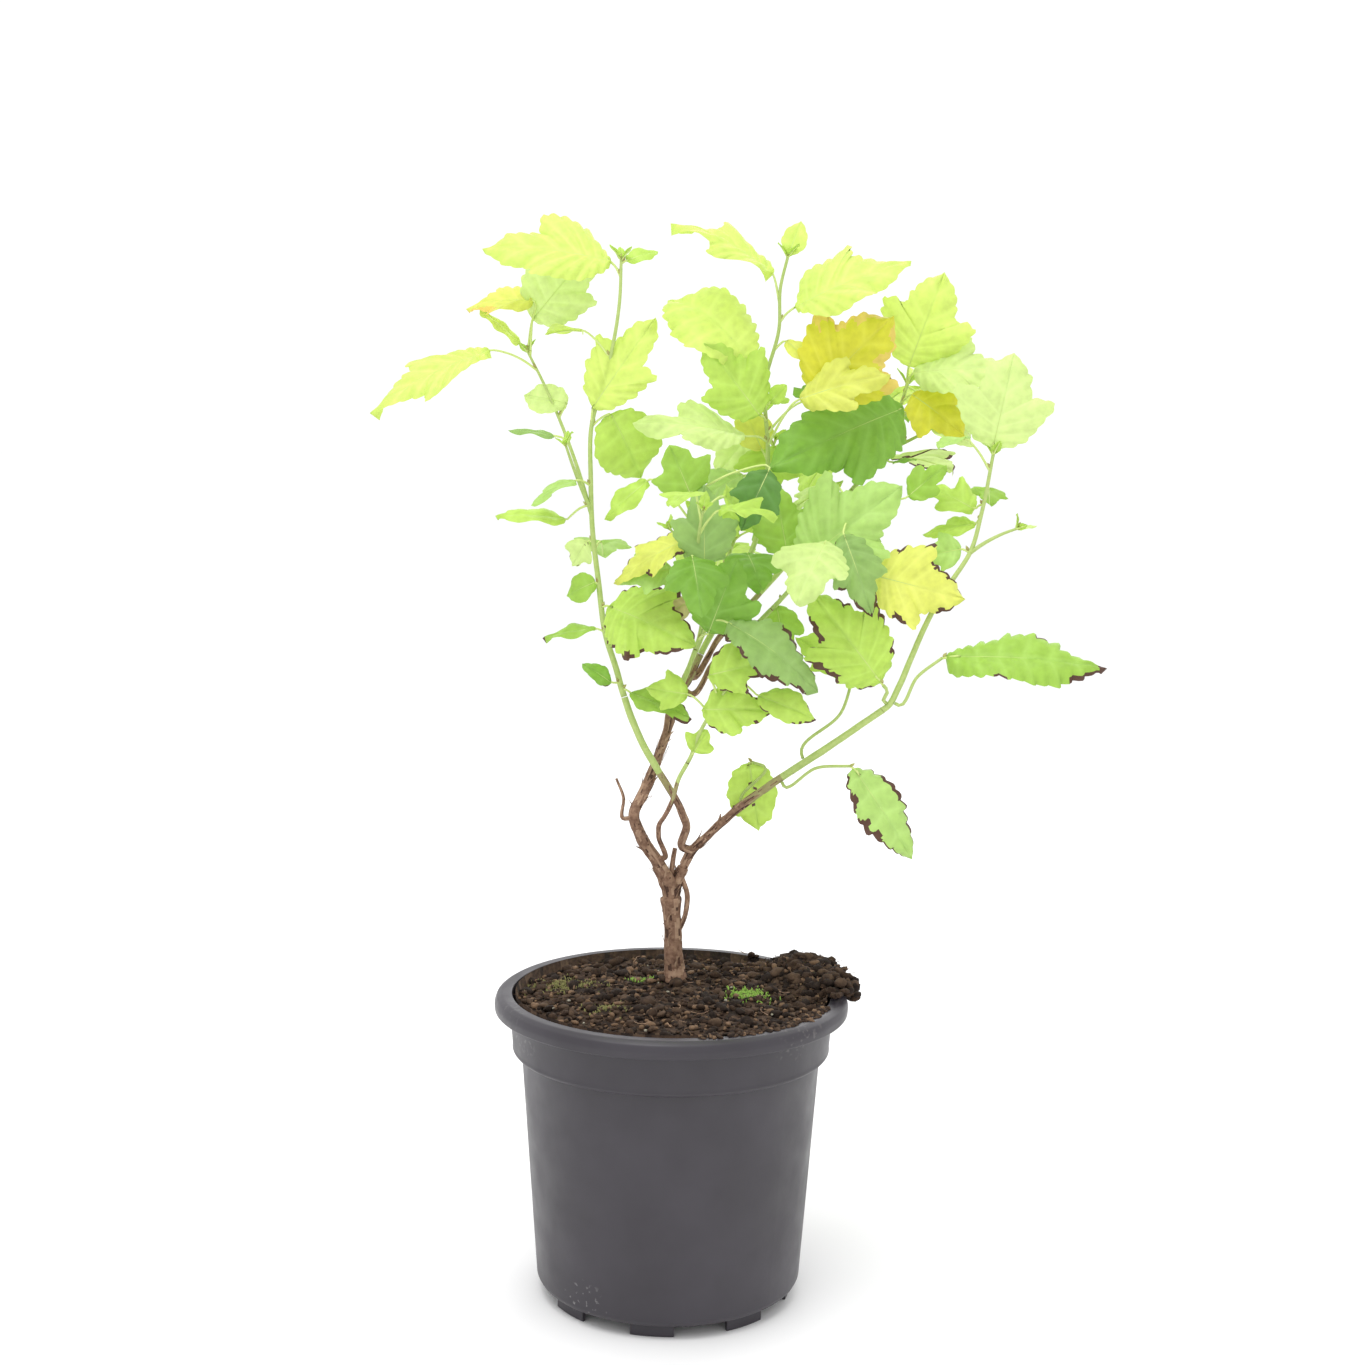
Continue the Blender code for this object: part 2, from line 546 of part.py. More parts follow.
def pot_outer():
    """The pot's outside from the mouth down to the underside's centre, as radius and height."""
    skirt = POT_HEIGHT - LIP_DEPTH
    return [
        (MOUTH_RADIUS, POT_HEIGHT),
        (LIP_RADIUS - 0.0035, POT_HEIGHT),
        (LIP_RADIUS - 0.0010, POT_HEIGHT - 0.0016),
        (LIP_RADIUS, POT_HEIGHT - 0.0045),
        (LIP_RADIUS - 0.0002, skirt),
        (COLLAR_RADIUS + 0.0004, skirt - 0.0006),
        (LEDGE_RADIUS, COLLAR_FOOT + 0.0016),
        (LEDGE_RADIUS + 0.0002, COLLAR_FOOT),
        (LEDGE_RADIUS - 0.0008, COLLAR_FOOT - 0.0012),
        (BODY_TOP_RADIUS, COLLAR_FOOT - 0.0018),
        (BODY_FOOT_RADIUS, BODY_FOOT),
        (BODY_FOOT_RADIUS - 0.0012, BODY_FOOT - 0.0022),
        (FOOT_RING_RADIUS, FLOOR_UNDERSIDE + 0.0003),
        (FOOT_RING_RADIUS, 0.0),
        (FOOT_RING_RADIUS - FOOT_RING_WIDTH, 0.0),
        (FOOT_RING_RADIUS - FOOT_RING_WIDTH, FLOOR_UNDERSIDE),
        (CENTRE_FOOT_RADIUS + 0.0004, FLOOR_UNDERSIDE),
        (CENTRE_FOOT_RADIUS, 0.0),
        (0.0, 0.0),
    ]


def pot_inner():
    """The pot's inside from the floor's centre up to the mouth."""
    return [
        (0.0, FLOOR_TOP),
        (BODY_FOOT_RADIUS - WALL - 0.0030, FLOOR_TOP),
        (BODY_FOOT_RADIUS - WALL, BODY_FOOT + 0.0010),
        (BODY_TOP_RADIUS - WALL, COLLAR_FOOT - 0.0020),
        (LEDGE_RADIUS - WALL, COLLAR_FOOT + 0.0004),
        (MOUTH_RADIUS - 0.0008, POT_HEIGHT - LIP_DEPTH),
    ]


def lathe(profile, segments):
    """A closed solid turned round Z from a profile whose ends are on the axis or meet."""
    verts = []
    rows = []
    for radius, height in profile:
        if radius == 0.0:
            rows.append([len(verts)])
            verts.append(Vector((0.0, 0.0, height)))
            continue
        rows.append(list(range(len(verts), len(verts) + segments)))
        for k in range(segments):
            angle = 2 * math.pi * k / segments
            verts.append(Vector((radius * math.cos(angle), radius * math.sin(angle), height)))
    return verts, faces_between(rows, segments)


def faces_between(rows, segments):
    """Faces that join each row of vertices to the next. A row of one vertex is a pole."""
    faces = []
    for a, b in zip(rows, rows[1:]):
        for k in range(segments):
            n = (k + 1) % segments
            if len(a) == 1:
                faces.append((a[0], b[n], b[k]))
            elif len(b) == 1:
                faces.append((a[k], a[n], b[0]))
            else:
                faces.append((a[k], a[n], b[n], b[k]))
    return faces


def build_pot():
    profile = pot_inner() + pot_outer()
    pot = add_object("pot", lathe(profile, POT_SEGMENTS), material("pot plastic", POT_BLACK, 0.42))
    cutters = bpy.data.collections.new("pot_cutters")
    bpy.context.scene.collection.children.link(cutters)
    for i in range(NOTCH_COUNT):
        heading = NOTCH_FIRST + 2 * math.pi * i / NOTCH_COUNT
        add_cutter(cutters, f"notch_{i}", notch_solid(heading))
    cut = pot.modifiers.new("Notches", "BOOLEAN")
    cut.operation = "DIFFERENCE"
    cut.operand_type = "COLLECTION"
    cut.collection = cutters
    pot.data.shade_smooth()
    pot.data.set_sharp_from_angle(angle=math.radians(30))
    return pot


def notch_solid(heading):
    """A block that cuts one drainage notch through the foot ring."""
    half_width = FOOT_RING_RADIUS * math.sin(NOTCH_ANGLE / 2)
    inner = FOOT_RING_RADIUS - FOOT_RING_WIDTH - 0.004
    outer = FOOT_RING_RADIUS + 0.004
    corners = [
        (r, s * half_width * r / FOOT_RING_RADIUS, z)
        for z in (-0.002, NOTCH_HEIGHT)
        for r, s in ((inner, -1), (outer, -1), (outer, 1), (inner, 1))
    ]
    turn = Matrix.Rotation(heading, 3, "Z")
    faces = [(3, 2, 1, 0), (4, 5, 6, 7), (0, 1, 5, 4), (1, 2, 6, 5), (2, 3, 7, 6), (3, 0, 4, 7)]
    return [turn @ Vector(c) for c in corners], faces


def add_cutter(collection, name, solid):
    cutter = bpy.data.objects.new(name, mesh_of(name, solid))
    cutter.hide_render = True
    cutter.display_type = "WIRE"
    collection.objects.link(cutter)


# Soil

def spill(angle):
    """How much soil lies over the lip at an angle, from 0 to 1."""
    off = math.remainder(angle - SPILL_HEADING, 2 * math.pi)
    return math.cos(min(abs(off) / SPILL_WIDTH, 1.0) * math.pi / 2) ** 2


def soil_height(x, y, angle, share, rng):
    """The crumbly surface: low at the rim, a mound at the trunk and a heap over the lip."""
    mound = 0.0050 * (1 - share ** 2)
    heap = SPILL_HEIGHT * spill(angle) * math.exp(-((share - 1.0) / 0.30) ** 2)
    height = SOIL_EDGE + mound + heap + rng.uniform(-0.0012, 0.0012)
    if math.hypot(x - TRUNK_X, y - TRUNK_Y) < SOIL_FLAT_RADIUS:
        height = min(max(height, SOIL_FLAT - 0.0006), SOIL_FLAT)
    return height


def build_soil():
    rng = random.Random(SOIL_SEED)
    verts = []
    rows = []
    inner = pot_inner()
    for radius, height in inner[:5]:
        if radius == 0.0:
            rows.append([0])
            verts.append(Vector((0.0, 0.0, height + GAP)))
            continue
        rows.append(list(range(len(verts), len(verts) + POT_SEGMENTS)))
        for k in range(POT_SEGMENTS):
            angle = 2 * math.pi * k / POT_SEGMENTS
            verts.append(Vector(((radius - GAP) * math.cos(angle), (radius - GAP) * math.sin(angle), height + GAP)))
    for row in range(3 + len(SOIL_RINGS)):
        rows.append(list(range(len(verts), len(verts) + POT_SEGMENTS)))
        for k in range(POT_SEGMENTS):
            angle = 2 * math.pi * k / POT_SEGMENTS
            verts.append(soil_point(row, angle, rng))
    rows.append([len(verts)])
    verts.append(Vector((0.0, 0.0, SOIL_FLAT)))
    add_object("soil", (verts, faces_between(rows, POT_SEGMENTS)), material("soil", SOIL_BROWN, 0.95))


def soil_point(row, angle, rng):
    """One point of the soil's rim or top. The first three rows are the wall, the overhang and its edge."""
    amount = spill(angle)
    over = max(amount - 0.10, 0.0) / 0.90
    wall_radius = MOUTH_RADIUS - 0.0008 - GAP
    rim_height = SOIL_EDGE - 0.0016
    if amount > 0.04:
        rim_height += (POT_HEIGHT + 0.0005 - rim_height) * min(amount / 0.10, 1.0)
    reach = wall_radius - 0.0006 + SPILL_REACH * over * rng.uniform(0.85, 1.0)
    if row == 0:
        radius, height = wall_radius - 0.0003, rim_height
    elif row == 1:
        radius, height = reach, rim_height + 0.0006
    elif row == 2:
        radius, height = reach - 0.0010, rim_height + 0.0014 + 0.0045 * over * rng.uniform(0.8, 1.2)
    else:
        share = SOIL_RINGS[row - 3]
        radius = share * (reach - 0.002)
        height = soil_height(radius * math.cos(angle), radius * math.sin(angle), angle, share, rng)
    return Vector((radius * math.cos(angle), radius * math.sin(angle), height))


# Trunk and boughs

def build_trunk(mat):
    """The trunk with its flare, its two fork stubs, the thin side stem and the dead stub in the fork."""
    trunk = tube(Path(TRUNK_WAY), TRUNK_RADII, 10, 0.008, flare=TRUNK_FLARE, level_start=True)
    left = Path(FORK_LEFT_WAY)
    right = Path(FORK_RIGHT_WAY)
    solids = [
        trunk,
        tube(left, FORK_LEFT_RADII, LIMB_SIDES, LIMB_STEP),
        tube(right, FORK_RIGHT_RADII, LIMB_SIDES, LIMB_STEP),
        tube(Path(SIDE_STEM_WAY), SIDE_STEM_RADII, 5, 0.006),
        tube(Path(DEAD_STUB_WAY), DEAD_STUB_RADII, 5, 0.008),
    ]
    fuse("trunk", solids, mat)
    return solids, {
        "trunk_fork_left": (left, FORK_LEFT_RADII, tree_of(solids[1])),
        "trunk_fork_right": (right, FORK_RIGHT_RADII, tree_of(solids[2])),
    }


def start_on(parent, share, first, own_radius):
    """Where a limb starts: past the parent's end, or square to its side and a gap clear of its surface."""
    path, radii, surface = parent
    centre = path.at(share)
    along = path.direction(share)
    if share >= 1.0:
        return [centre + along * GAP, centre + along * (GAP + 0.002)]
    out = Vector(first) - centre
    out = (out - out.dot(along) * along).normalized()
    side = out.orthogonal().normalized()
    other = out.cross(side)
    away = radii[0] + (radii[1] - radii[0]) * share + GAP
    ring = [math.radians(angle) for angle in range(0, 360, 30)]
    while True:
        face = [centre + out * away]
        face += [face[0] + own_radius * (math.cos(t) * side + math.sin(t) * other) for t in ring]
        if min(surface.find_nearest(point)[3] for point in face) >= GAP:
            break
        away += GAP / 10
    return [centre + out * away, centre + out * (away + 0.0015)]


def limb_path(spec, parents):
    parent, share = spec["on"]
    start = start_on(parents[parent], share, spec["way"][0], spec["radii"][0])
    return Path(start + [Vector(p) for p in spec["way"]])


# Foliage

class Mass:
    """One leafy shoot: a stem, its twigs and its leaves, all in the mass's own space."""

    def __init__(self, name, spec, parents):
        self.name = name
        self.spec = spec
        path = limb_path(spec, parents)
        self.carriers = {"stem": path}
        self.solids = []
        self.trees = []
        self.add(tube(path, spec["radii"], 5, 0.012))
        for twig in spec["twigs"]:
            self.add_twig(*twig)

    def add(self, solid):
        self.solids.append(solid)
        self.trees.append(tree_of(solid))

    def twig_path(self, place, length, start, end):
        """A twig that starts inside the stem and turns from its first direction to its last."""
        points = [self.carriers["stem"].at(place)]
        pieces = 5
        for i in range(pieces):
            mix = (i + 0.5) / pieces
            heading = start[0] + (end[0] - start[0]) * mix
            rise = start[1] + (end[1] - start[1]) * mix
            points.append(points[-1] + heading_vector(heading, rise) * (length / pieces))
        return Path(points)

    def add_twig(self, name, place, length, start, end):
        path = self.twig_path(place, length, start, end)
        self.carriers[name] = path
        self.add(tube(path, TWIG_RADII, TWIG_SIDES, TWIG_STEP))

    def leaf(self, carrier, place, petiole, leaf, width, face, curl, kind):
        """The solids of one leaf: its petiole, sunk in the stem and in the blade, and its blade."""
        start = self.carriers[carrier].at(place)
        base = start + heading_vector(petiole[1], petiole[2]) * petiole[0] * MM
        direction = heading_vector(leaf[1], leaf[2])
        normal = blade_normal(direction, face)
        length = leaf[0] * MM
        middle = (start + base) / 2 + UP * (0.10 * petiole[0] * MM)
        sunk = base + direction * (LEAF_ROOT * length)
        stalk = Path((start, middle, base, sunk))
        shape = (base, direction, normal, length, length * width, curl, kind)
        return stalk, shape

    def add_leaf(self, stalk, shape):
        self.add(tube(stalk, (PETIOLE_RADIUS, PETIOLE_RADIUS * 0.8), PETIOLE_SIDES, stalk.length / 2))
        self.add(blade(*shape))

    def inside(self, points):
        centre, half = self.spec["space"]
        return all(sum(((p[i] - centre[i]) / half[i]) ** 2 for i in range(3)) <= 1.0 for p in points)


def touches(solid, trees):
    probe = tree_of(solid)
    return any(probe.overlap(tree) for tree in trees)


def leaf_is_clear(mass, stalk, shape, limbs, masses, seeded):
    """True if the leaf keeps clear of the limbs and of the other masses, and a seeded one of its own mass too."""
    grown = blade(*shape, grow=LEAF_CLEARANCE)
    petiole = tube(stalk, (PETIOLE_RADIUS + LEAF_CLEARANCE,) * 2, PETIOLE_SIDES, stalk.length / 2)
    foreign = [tree for other in masses if other is not mass for tree in other.trees]
    if touches(grown, foreign + limbs) or touches(petiole, foreign + limbs):
        return False
    return not seeded or not touches(grown, mass.trees)


def grow_placed(mass, limbs, masses):
    for name, carrier, place, petiole, leaf, width, face, curl, kind in mass.spec["leaves"]:
        stalk, shape = mass.leaf(carrier, place, petiole, leaf, width, face, curl, kind)
        if leaf_is_clear(mass, stalk, shape, limbs, masses, False):
            mass.add_leaf(stalk, shape)


def grow_seeded(mass, limbs, masses):
    """Twigs and leaves by rule: a turn of 144 degrees from each to the next, smaller towards the tip."""
    rule = mass.spec["seeded"]
    if rule is None:
        return
    rng = random.Random(rule["seed"])
    carriers = [("stem", rule["leaves"], 0.12)]
    for i in range(rule["twigs"]):
        heading = 360 * rng.random()
        rise = rng.uniform(20, 45)
        length = rng.uniform(*rule["twig"])
        place = 0.15 + 0.70 * (i + 0.5) / rule["twigs"]
        end = (heading + rng.uniform(-20, 20), rise + rng.uniform(5, 20))
        path = mass.twig_path(place, length, (heading, rise), end)
        solid = tube(path, (TWIG_RADII[0] + LEAF_CLEARANCE,) * 2, TWIG_SIDES, TWIG_STEP)
        foreign = [tree for other in masses if other is not mass for tree in other.trees]
        if not touches(solid, foreign + limbs) and mass.inside([path.at(1.0)]):
            mass.add_twig(f"seeded_{i}", place, length, (heading, rise), end)
            carriers.append((f"seeded_{i}", 4, 0.45))
    for carrier, count, first in carriers:
        turn = rng.uniform(0, 360)
        for i in range(count):
            place = first + (1 - first) * (i + 0.5) / count
            turn += TURN_PER_LEAF + rng.uniform(-20, 20)
            rise = rng.uniform(10, 50)
            petiole = (rng.uniform(10, 22), turn, rise)
            size = rule["blade"][0] + (rule["blade"][1] - rule["blade"][0]) * place
            length = size * rng.uniform(0.85, 1.15) / MM
            leaf = (length, turn + rng.uniform(-30, 30), rise - rng.uniform(25, 70))
            face = rng.uniform(-10, 60)
            width = rng.uniform(0.70, 0.95)
            curl = rng.uniform(10, 40)
            kind = "lobed" if length > 20 else "oval"
            stalk, shape = mass.leaf(carrier, place, petiole, leaf, width, face, curl, kind)
            if not mass.inside(blade(*shape)[0]):
                continue
            if leaf_is_clear(mass, stalk, shape, limbs, masses, True):
                mass.add_leaf(stalk, shape)




def main():
    for obj in list(bpy.data.objects):
        bpy.data.objects.remove(obj)
    wood = material("bark", WOOD_BROWN, 0.85)
    shoot = material("green shoot", SHOOT_GREEN, 0.6)
    build_pot()
    build_soil()
    trunk_solids, parents = build_trunk(wood)
    limb_trees = [tree_of(solid) for solid in trunk_solids]
    for name, spec in LIMBS.items():
        path = limb_path(spec, parents)
        solid = tube(path, spec["radii"], LIMB_SIDES if spec["radii"][0] > 0.001 else 6, LIMB_STEP)
        limb_trees.append(tree_of(solid))
        parents[name] = (path, spec["radii"], limb_trees[-1])
        add_object(name, solid, wood if spec["radii"][0] > 0.0014 else shoot)
    masses = [Mass(name, spec, parents) for name, spec in MASSES.items()]
    for mass in masses:
        grow_placed(mass, limb_trees, masses)
    for mass in masses:
        grow_seeded(mass, limb_trees, masses)
    colours = (LEAF_LIME, LEAF_YELLOW, LEAF_MID)
    for i, mass in enumerate(masses):
        fuse(mass.name, mass.solids, material(mass.name + " leaves", colours[i % 3], 0.5))


main()
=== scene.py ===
"""The finish of a potted golden ninebark, a young open shrub in a black nursery pot. Metres, +Z up.

The limbs, masses and leaves follow the same rows and the same seeded rule as the solids. Each leaf gets its
toothed edge, veins and tint here, the stems their bark, and the pot and soil their surface.
"""
import math
import random

import bmesh
import bpy
from mathutils import Matrix, Vector, noise
from mathutils.bvhtree import BVHTree


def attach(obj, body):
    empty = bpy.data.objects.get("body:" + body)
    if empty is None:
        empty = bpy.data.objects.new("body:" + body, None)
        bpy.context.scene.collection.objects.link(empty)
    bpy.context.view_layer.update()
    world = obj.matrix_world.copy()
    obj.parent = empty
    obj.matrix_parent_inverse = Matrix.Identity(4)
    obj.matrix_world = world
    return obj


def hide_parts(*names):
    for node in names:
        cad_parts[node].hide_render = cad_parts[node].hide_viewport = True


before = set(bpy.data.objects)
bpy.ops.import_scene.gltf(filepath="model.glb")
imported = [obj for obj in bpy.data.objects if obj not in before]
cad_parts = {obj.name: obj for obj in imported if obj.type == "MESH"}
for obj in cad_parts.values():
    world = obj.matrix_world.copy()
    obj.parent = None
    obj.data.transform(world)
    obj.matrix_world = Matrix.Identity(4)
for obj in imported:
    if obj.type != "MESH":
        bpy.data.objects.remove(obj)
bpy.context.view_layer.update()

MM = 0.001
UP = Vector((0.0, 0.0, 1.0))

# Pot
POT_HEIGHT = 0.148
LIP_RADIUS = 0.085
LIP_DEPTH = 0.0080
MOUTH_RADIUS = 0.0766
COLLAR_RADIUS = 0.0772
COLLAR_FOOT = 0.1213
LEDGE_RADIUS = 0.0762
BODY_TOP_RADIUS = 0.0719
BODY_FOOT_RADIUS = 0.0640
BODY_FOOT = 0.0090
FOOT_RING_RADIUS = 0.0594
FOOT_RING_WIDTH = 0.0018
FLOOR_UNDERSIDE = 0.0055
FLOOR_TOP = 0.0073
WALL = 0.0017
CENTRE_FOOT_RADIUS = 0.0120
NOTCH_COUNT = 8
NOTCH_FIRST = math.radians(-90 + 15.8)
NOTCH_ANGLE = math.radians(25)
NOTCH_HEIGHT = 0.0052

# Soil
GAP = 0.00035
SOIL_EDGE = 0.1432
TRUNK_FOOT = 0.1490
TRUNK_X = 0.002
TRUNK_Y = 0.015
SPILL_HEADING = math.radians(22)
SPILL_WIDTH = math.radians(36)
SPILL_REACH = 0.0105
SPILL_HEIGHT = 0.0125
SOIL_SEED = 7

# Limbs and leaves
TRUNK_RADII = (0.0045, 0.0040)
TRUNK_FLARE = 0.0012
FORK_LEFT_RADII = (0.0038, 0.0031)
FORK_RIGHT_RADII = (0.0036, 0.0028)
SIDE_STEM_RADII = (0.0012, 0.0012)
DEAD_STUB_RADII = (0.0014, 0.0009)
LIMB_SIDES = 7
LIMB_STEP = 0.007
TWIG_SIDES = 4
TWIG_STEP = 0.016
TWIG_RADII = (0.0010, 0.0006)
PETIOLE_SIDES = 3
PETIOLE_RADIUS = 0.00075
LEAF_THICKNESS = 0.022
LEAF_CLEARANCE = 0.0006
LEAF_ROOT = 0.28
LEAF_FOLD = 14.0
TURN_PER_LEAF = 144.0
FLARE_FALL = 0.006

POT_BLACK = (0.045, 0.043, 0.050)

# Half outlines of a leaf blade: how far along the midrib, and how far out as a share of half the width
LOBED_OUTLINE = ((0.10, 0.42), (0.32, 0.84), (0.56, 1.00), (0.61, 0.60), (0.75, 0.48), (0.90, 0.24))
LOBED_MIDRIB = (0.30, 0.68)
OVAL_OUTLINE = ((0.12, 0.58), (0.38, 1.00), (0.70, 0.76))
OVAL_MIDRIB = (0.50,)

# Limbs: waypoints, then the radius at the start and at the end
TRUNK_WAY = ((TRUNK_X, TRUNK_Y, TRUNK_FOOT), (0.0005, 0.014, 0.163), (0.000, 0.013, 0.177),
             (-0.001, 0.0126, 0.191))
FORK_LEFT_WAY = ((-0.001, 0.0126, 0.187), (-0.0025, 0.0112, 0.198), (-0.0070, 0.0086, 0.2075))
FORK_RIGHT_WAY = ((-0.001, 0.0126, 0.187), (0.0010, 0.0130, 0.197), (0.0048, 0.0130, 0.2055))
SIDE_STEM_WAY = ((0.0034, 0.0132, 0.202), (0.0068, 0.0118, 0.193), (0.0062, 0.0118, 0.183),
                 (0.0020, 0.0130, 0.172))
DEAD_STUB_WAY = ((-0.0010, 0.0120, 0.197), (-0.0006, 0.0112, 0.206), (0.0006, 0.0106, 0.2155))
LIMBS = {
    "bough_left": dict(
        on=("trunk_fork_left", 1.0),
        way=((-0.012, 0.005, 0.216), (-0.0165, 0.000, 0.225), (-0.0190, -0.003, 0.235),
             (-0.0150, -0.003, 0.244),
             (-0.010, 0.000, 0.256), (-0.005, 0.002, 0.270), (-0.001, 0.002, 0.287), (0.006, 0.000, 0.299),
             (0.0115, 0.000, 0.311)),
        radii=(0.0031, 0.0016)),
    "bough_right": dict(
        on=("trunk_fork_right", 1.0),
        way=((0.0088, 0.0118, 0.214), (0.0155, 0.006, 0.222), (0.028, -0.003, 0.236), (0.045, -0.012, 0.251),
             (0.073, -0.025, 0.273), (0.095, -0.031, 0.290)),
        radii=(0.0028, 0.0015)),
    "bough_right_outer": dict(
        on=("bough_right", 1.0),
        way=((0.102, -0.032, 0.301), (0.1075, -0.030, 0.314), (0.113, -0.028, 0.327),
             (0.1195, -0.026, 0.340)),
        radii=(0.00145, 0.0012)),
    "bough_left_shoot": dict(
        on=("bough_right", 0.07),
        way=((0.006, 0.004, 0.228), (0.003, -0.001, 0.237), (-0.008, -0.008, 0.257), (-0.016, -0.009, 0.271),
             (-0.0215, -0.008, 0.284), (-0.024, -0.007, 0.291)),
        radii=(0.0024, 0.0016)),
    "bough_thin": dict(
        on=("bough_left", 0.03),
        way=((-0.0072, -0.003, 0.224), (-0.0070, -0.007, 0.230), (-0.004, -0.011, 0.236),
             (-0.001, -0.014, 0.243),
             (0.002, -0.016, 0.254), (0.006, -0.018, 0.262)),
        radii=(0.0012, 0.0010)),
    "bough_back_right": dict(
        on=("bough_left", 0.90),
        way=((0.020, 0.007, 0.318), (0.036, 0.016, 0.335), (0.058, 0.026, 0.359), (0.084, 0.038, 0.388)),
        radii=(0.0014, 0.0012)),
    "bough_back": dict(
        on=("bough_left", 0.66),
        way=((0.002, 0.014, 0.293), (0.008, 0.027, 0.306), (0.015, 0.038, 0.322)),
        radii=(0.0013, 0.0011)),
    "bough_front": dict(
        on=("bough_left", 0.76),
        way=((0.005, -0.010, 0.303), (0.009, -0.014, 0.315)),
        radii=(0.0012, 0.0011)),
    "bough_mid_right": dict(
        on=("bough_left", 0.84),
        way=((0.018, -0.004, 0.308), (0.030, -0.009, 0.319), (0.044, -0.013, 0.334)),
        radii=(0.0013, 0.0011)),
    "dead_twig": dict(
        on=("bough_left", 0.26),
        way=((-0.0240, -0.005, 0.243), (-0.0275, -0.005, 0.252)),
        radii=(0.0009, 0.0006)),
}

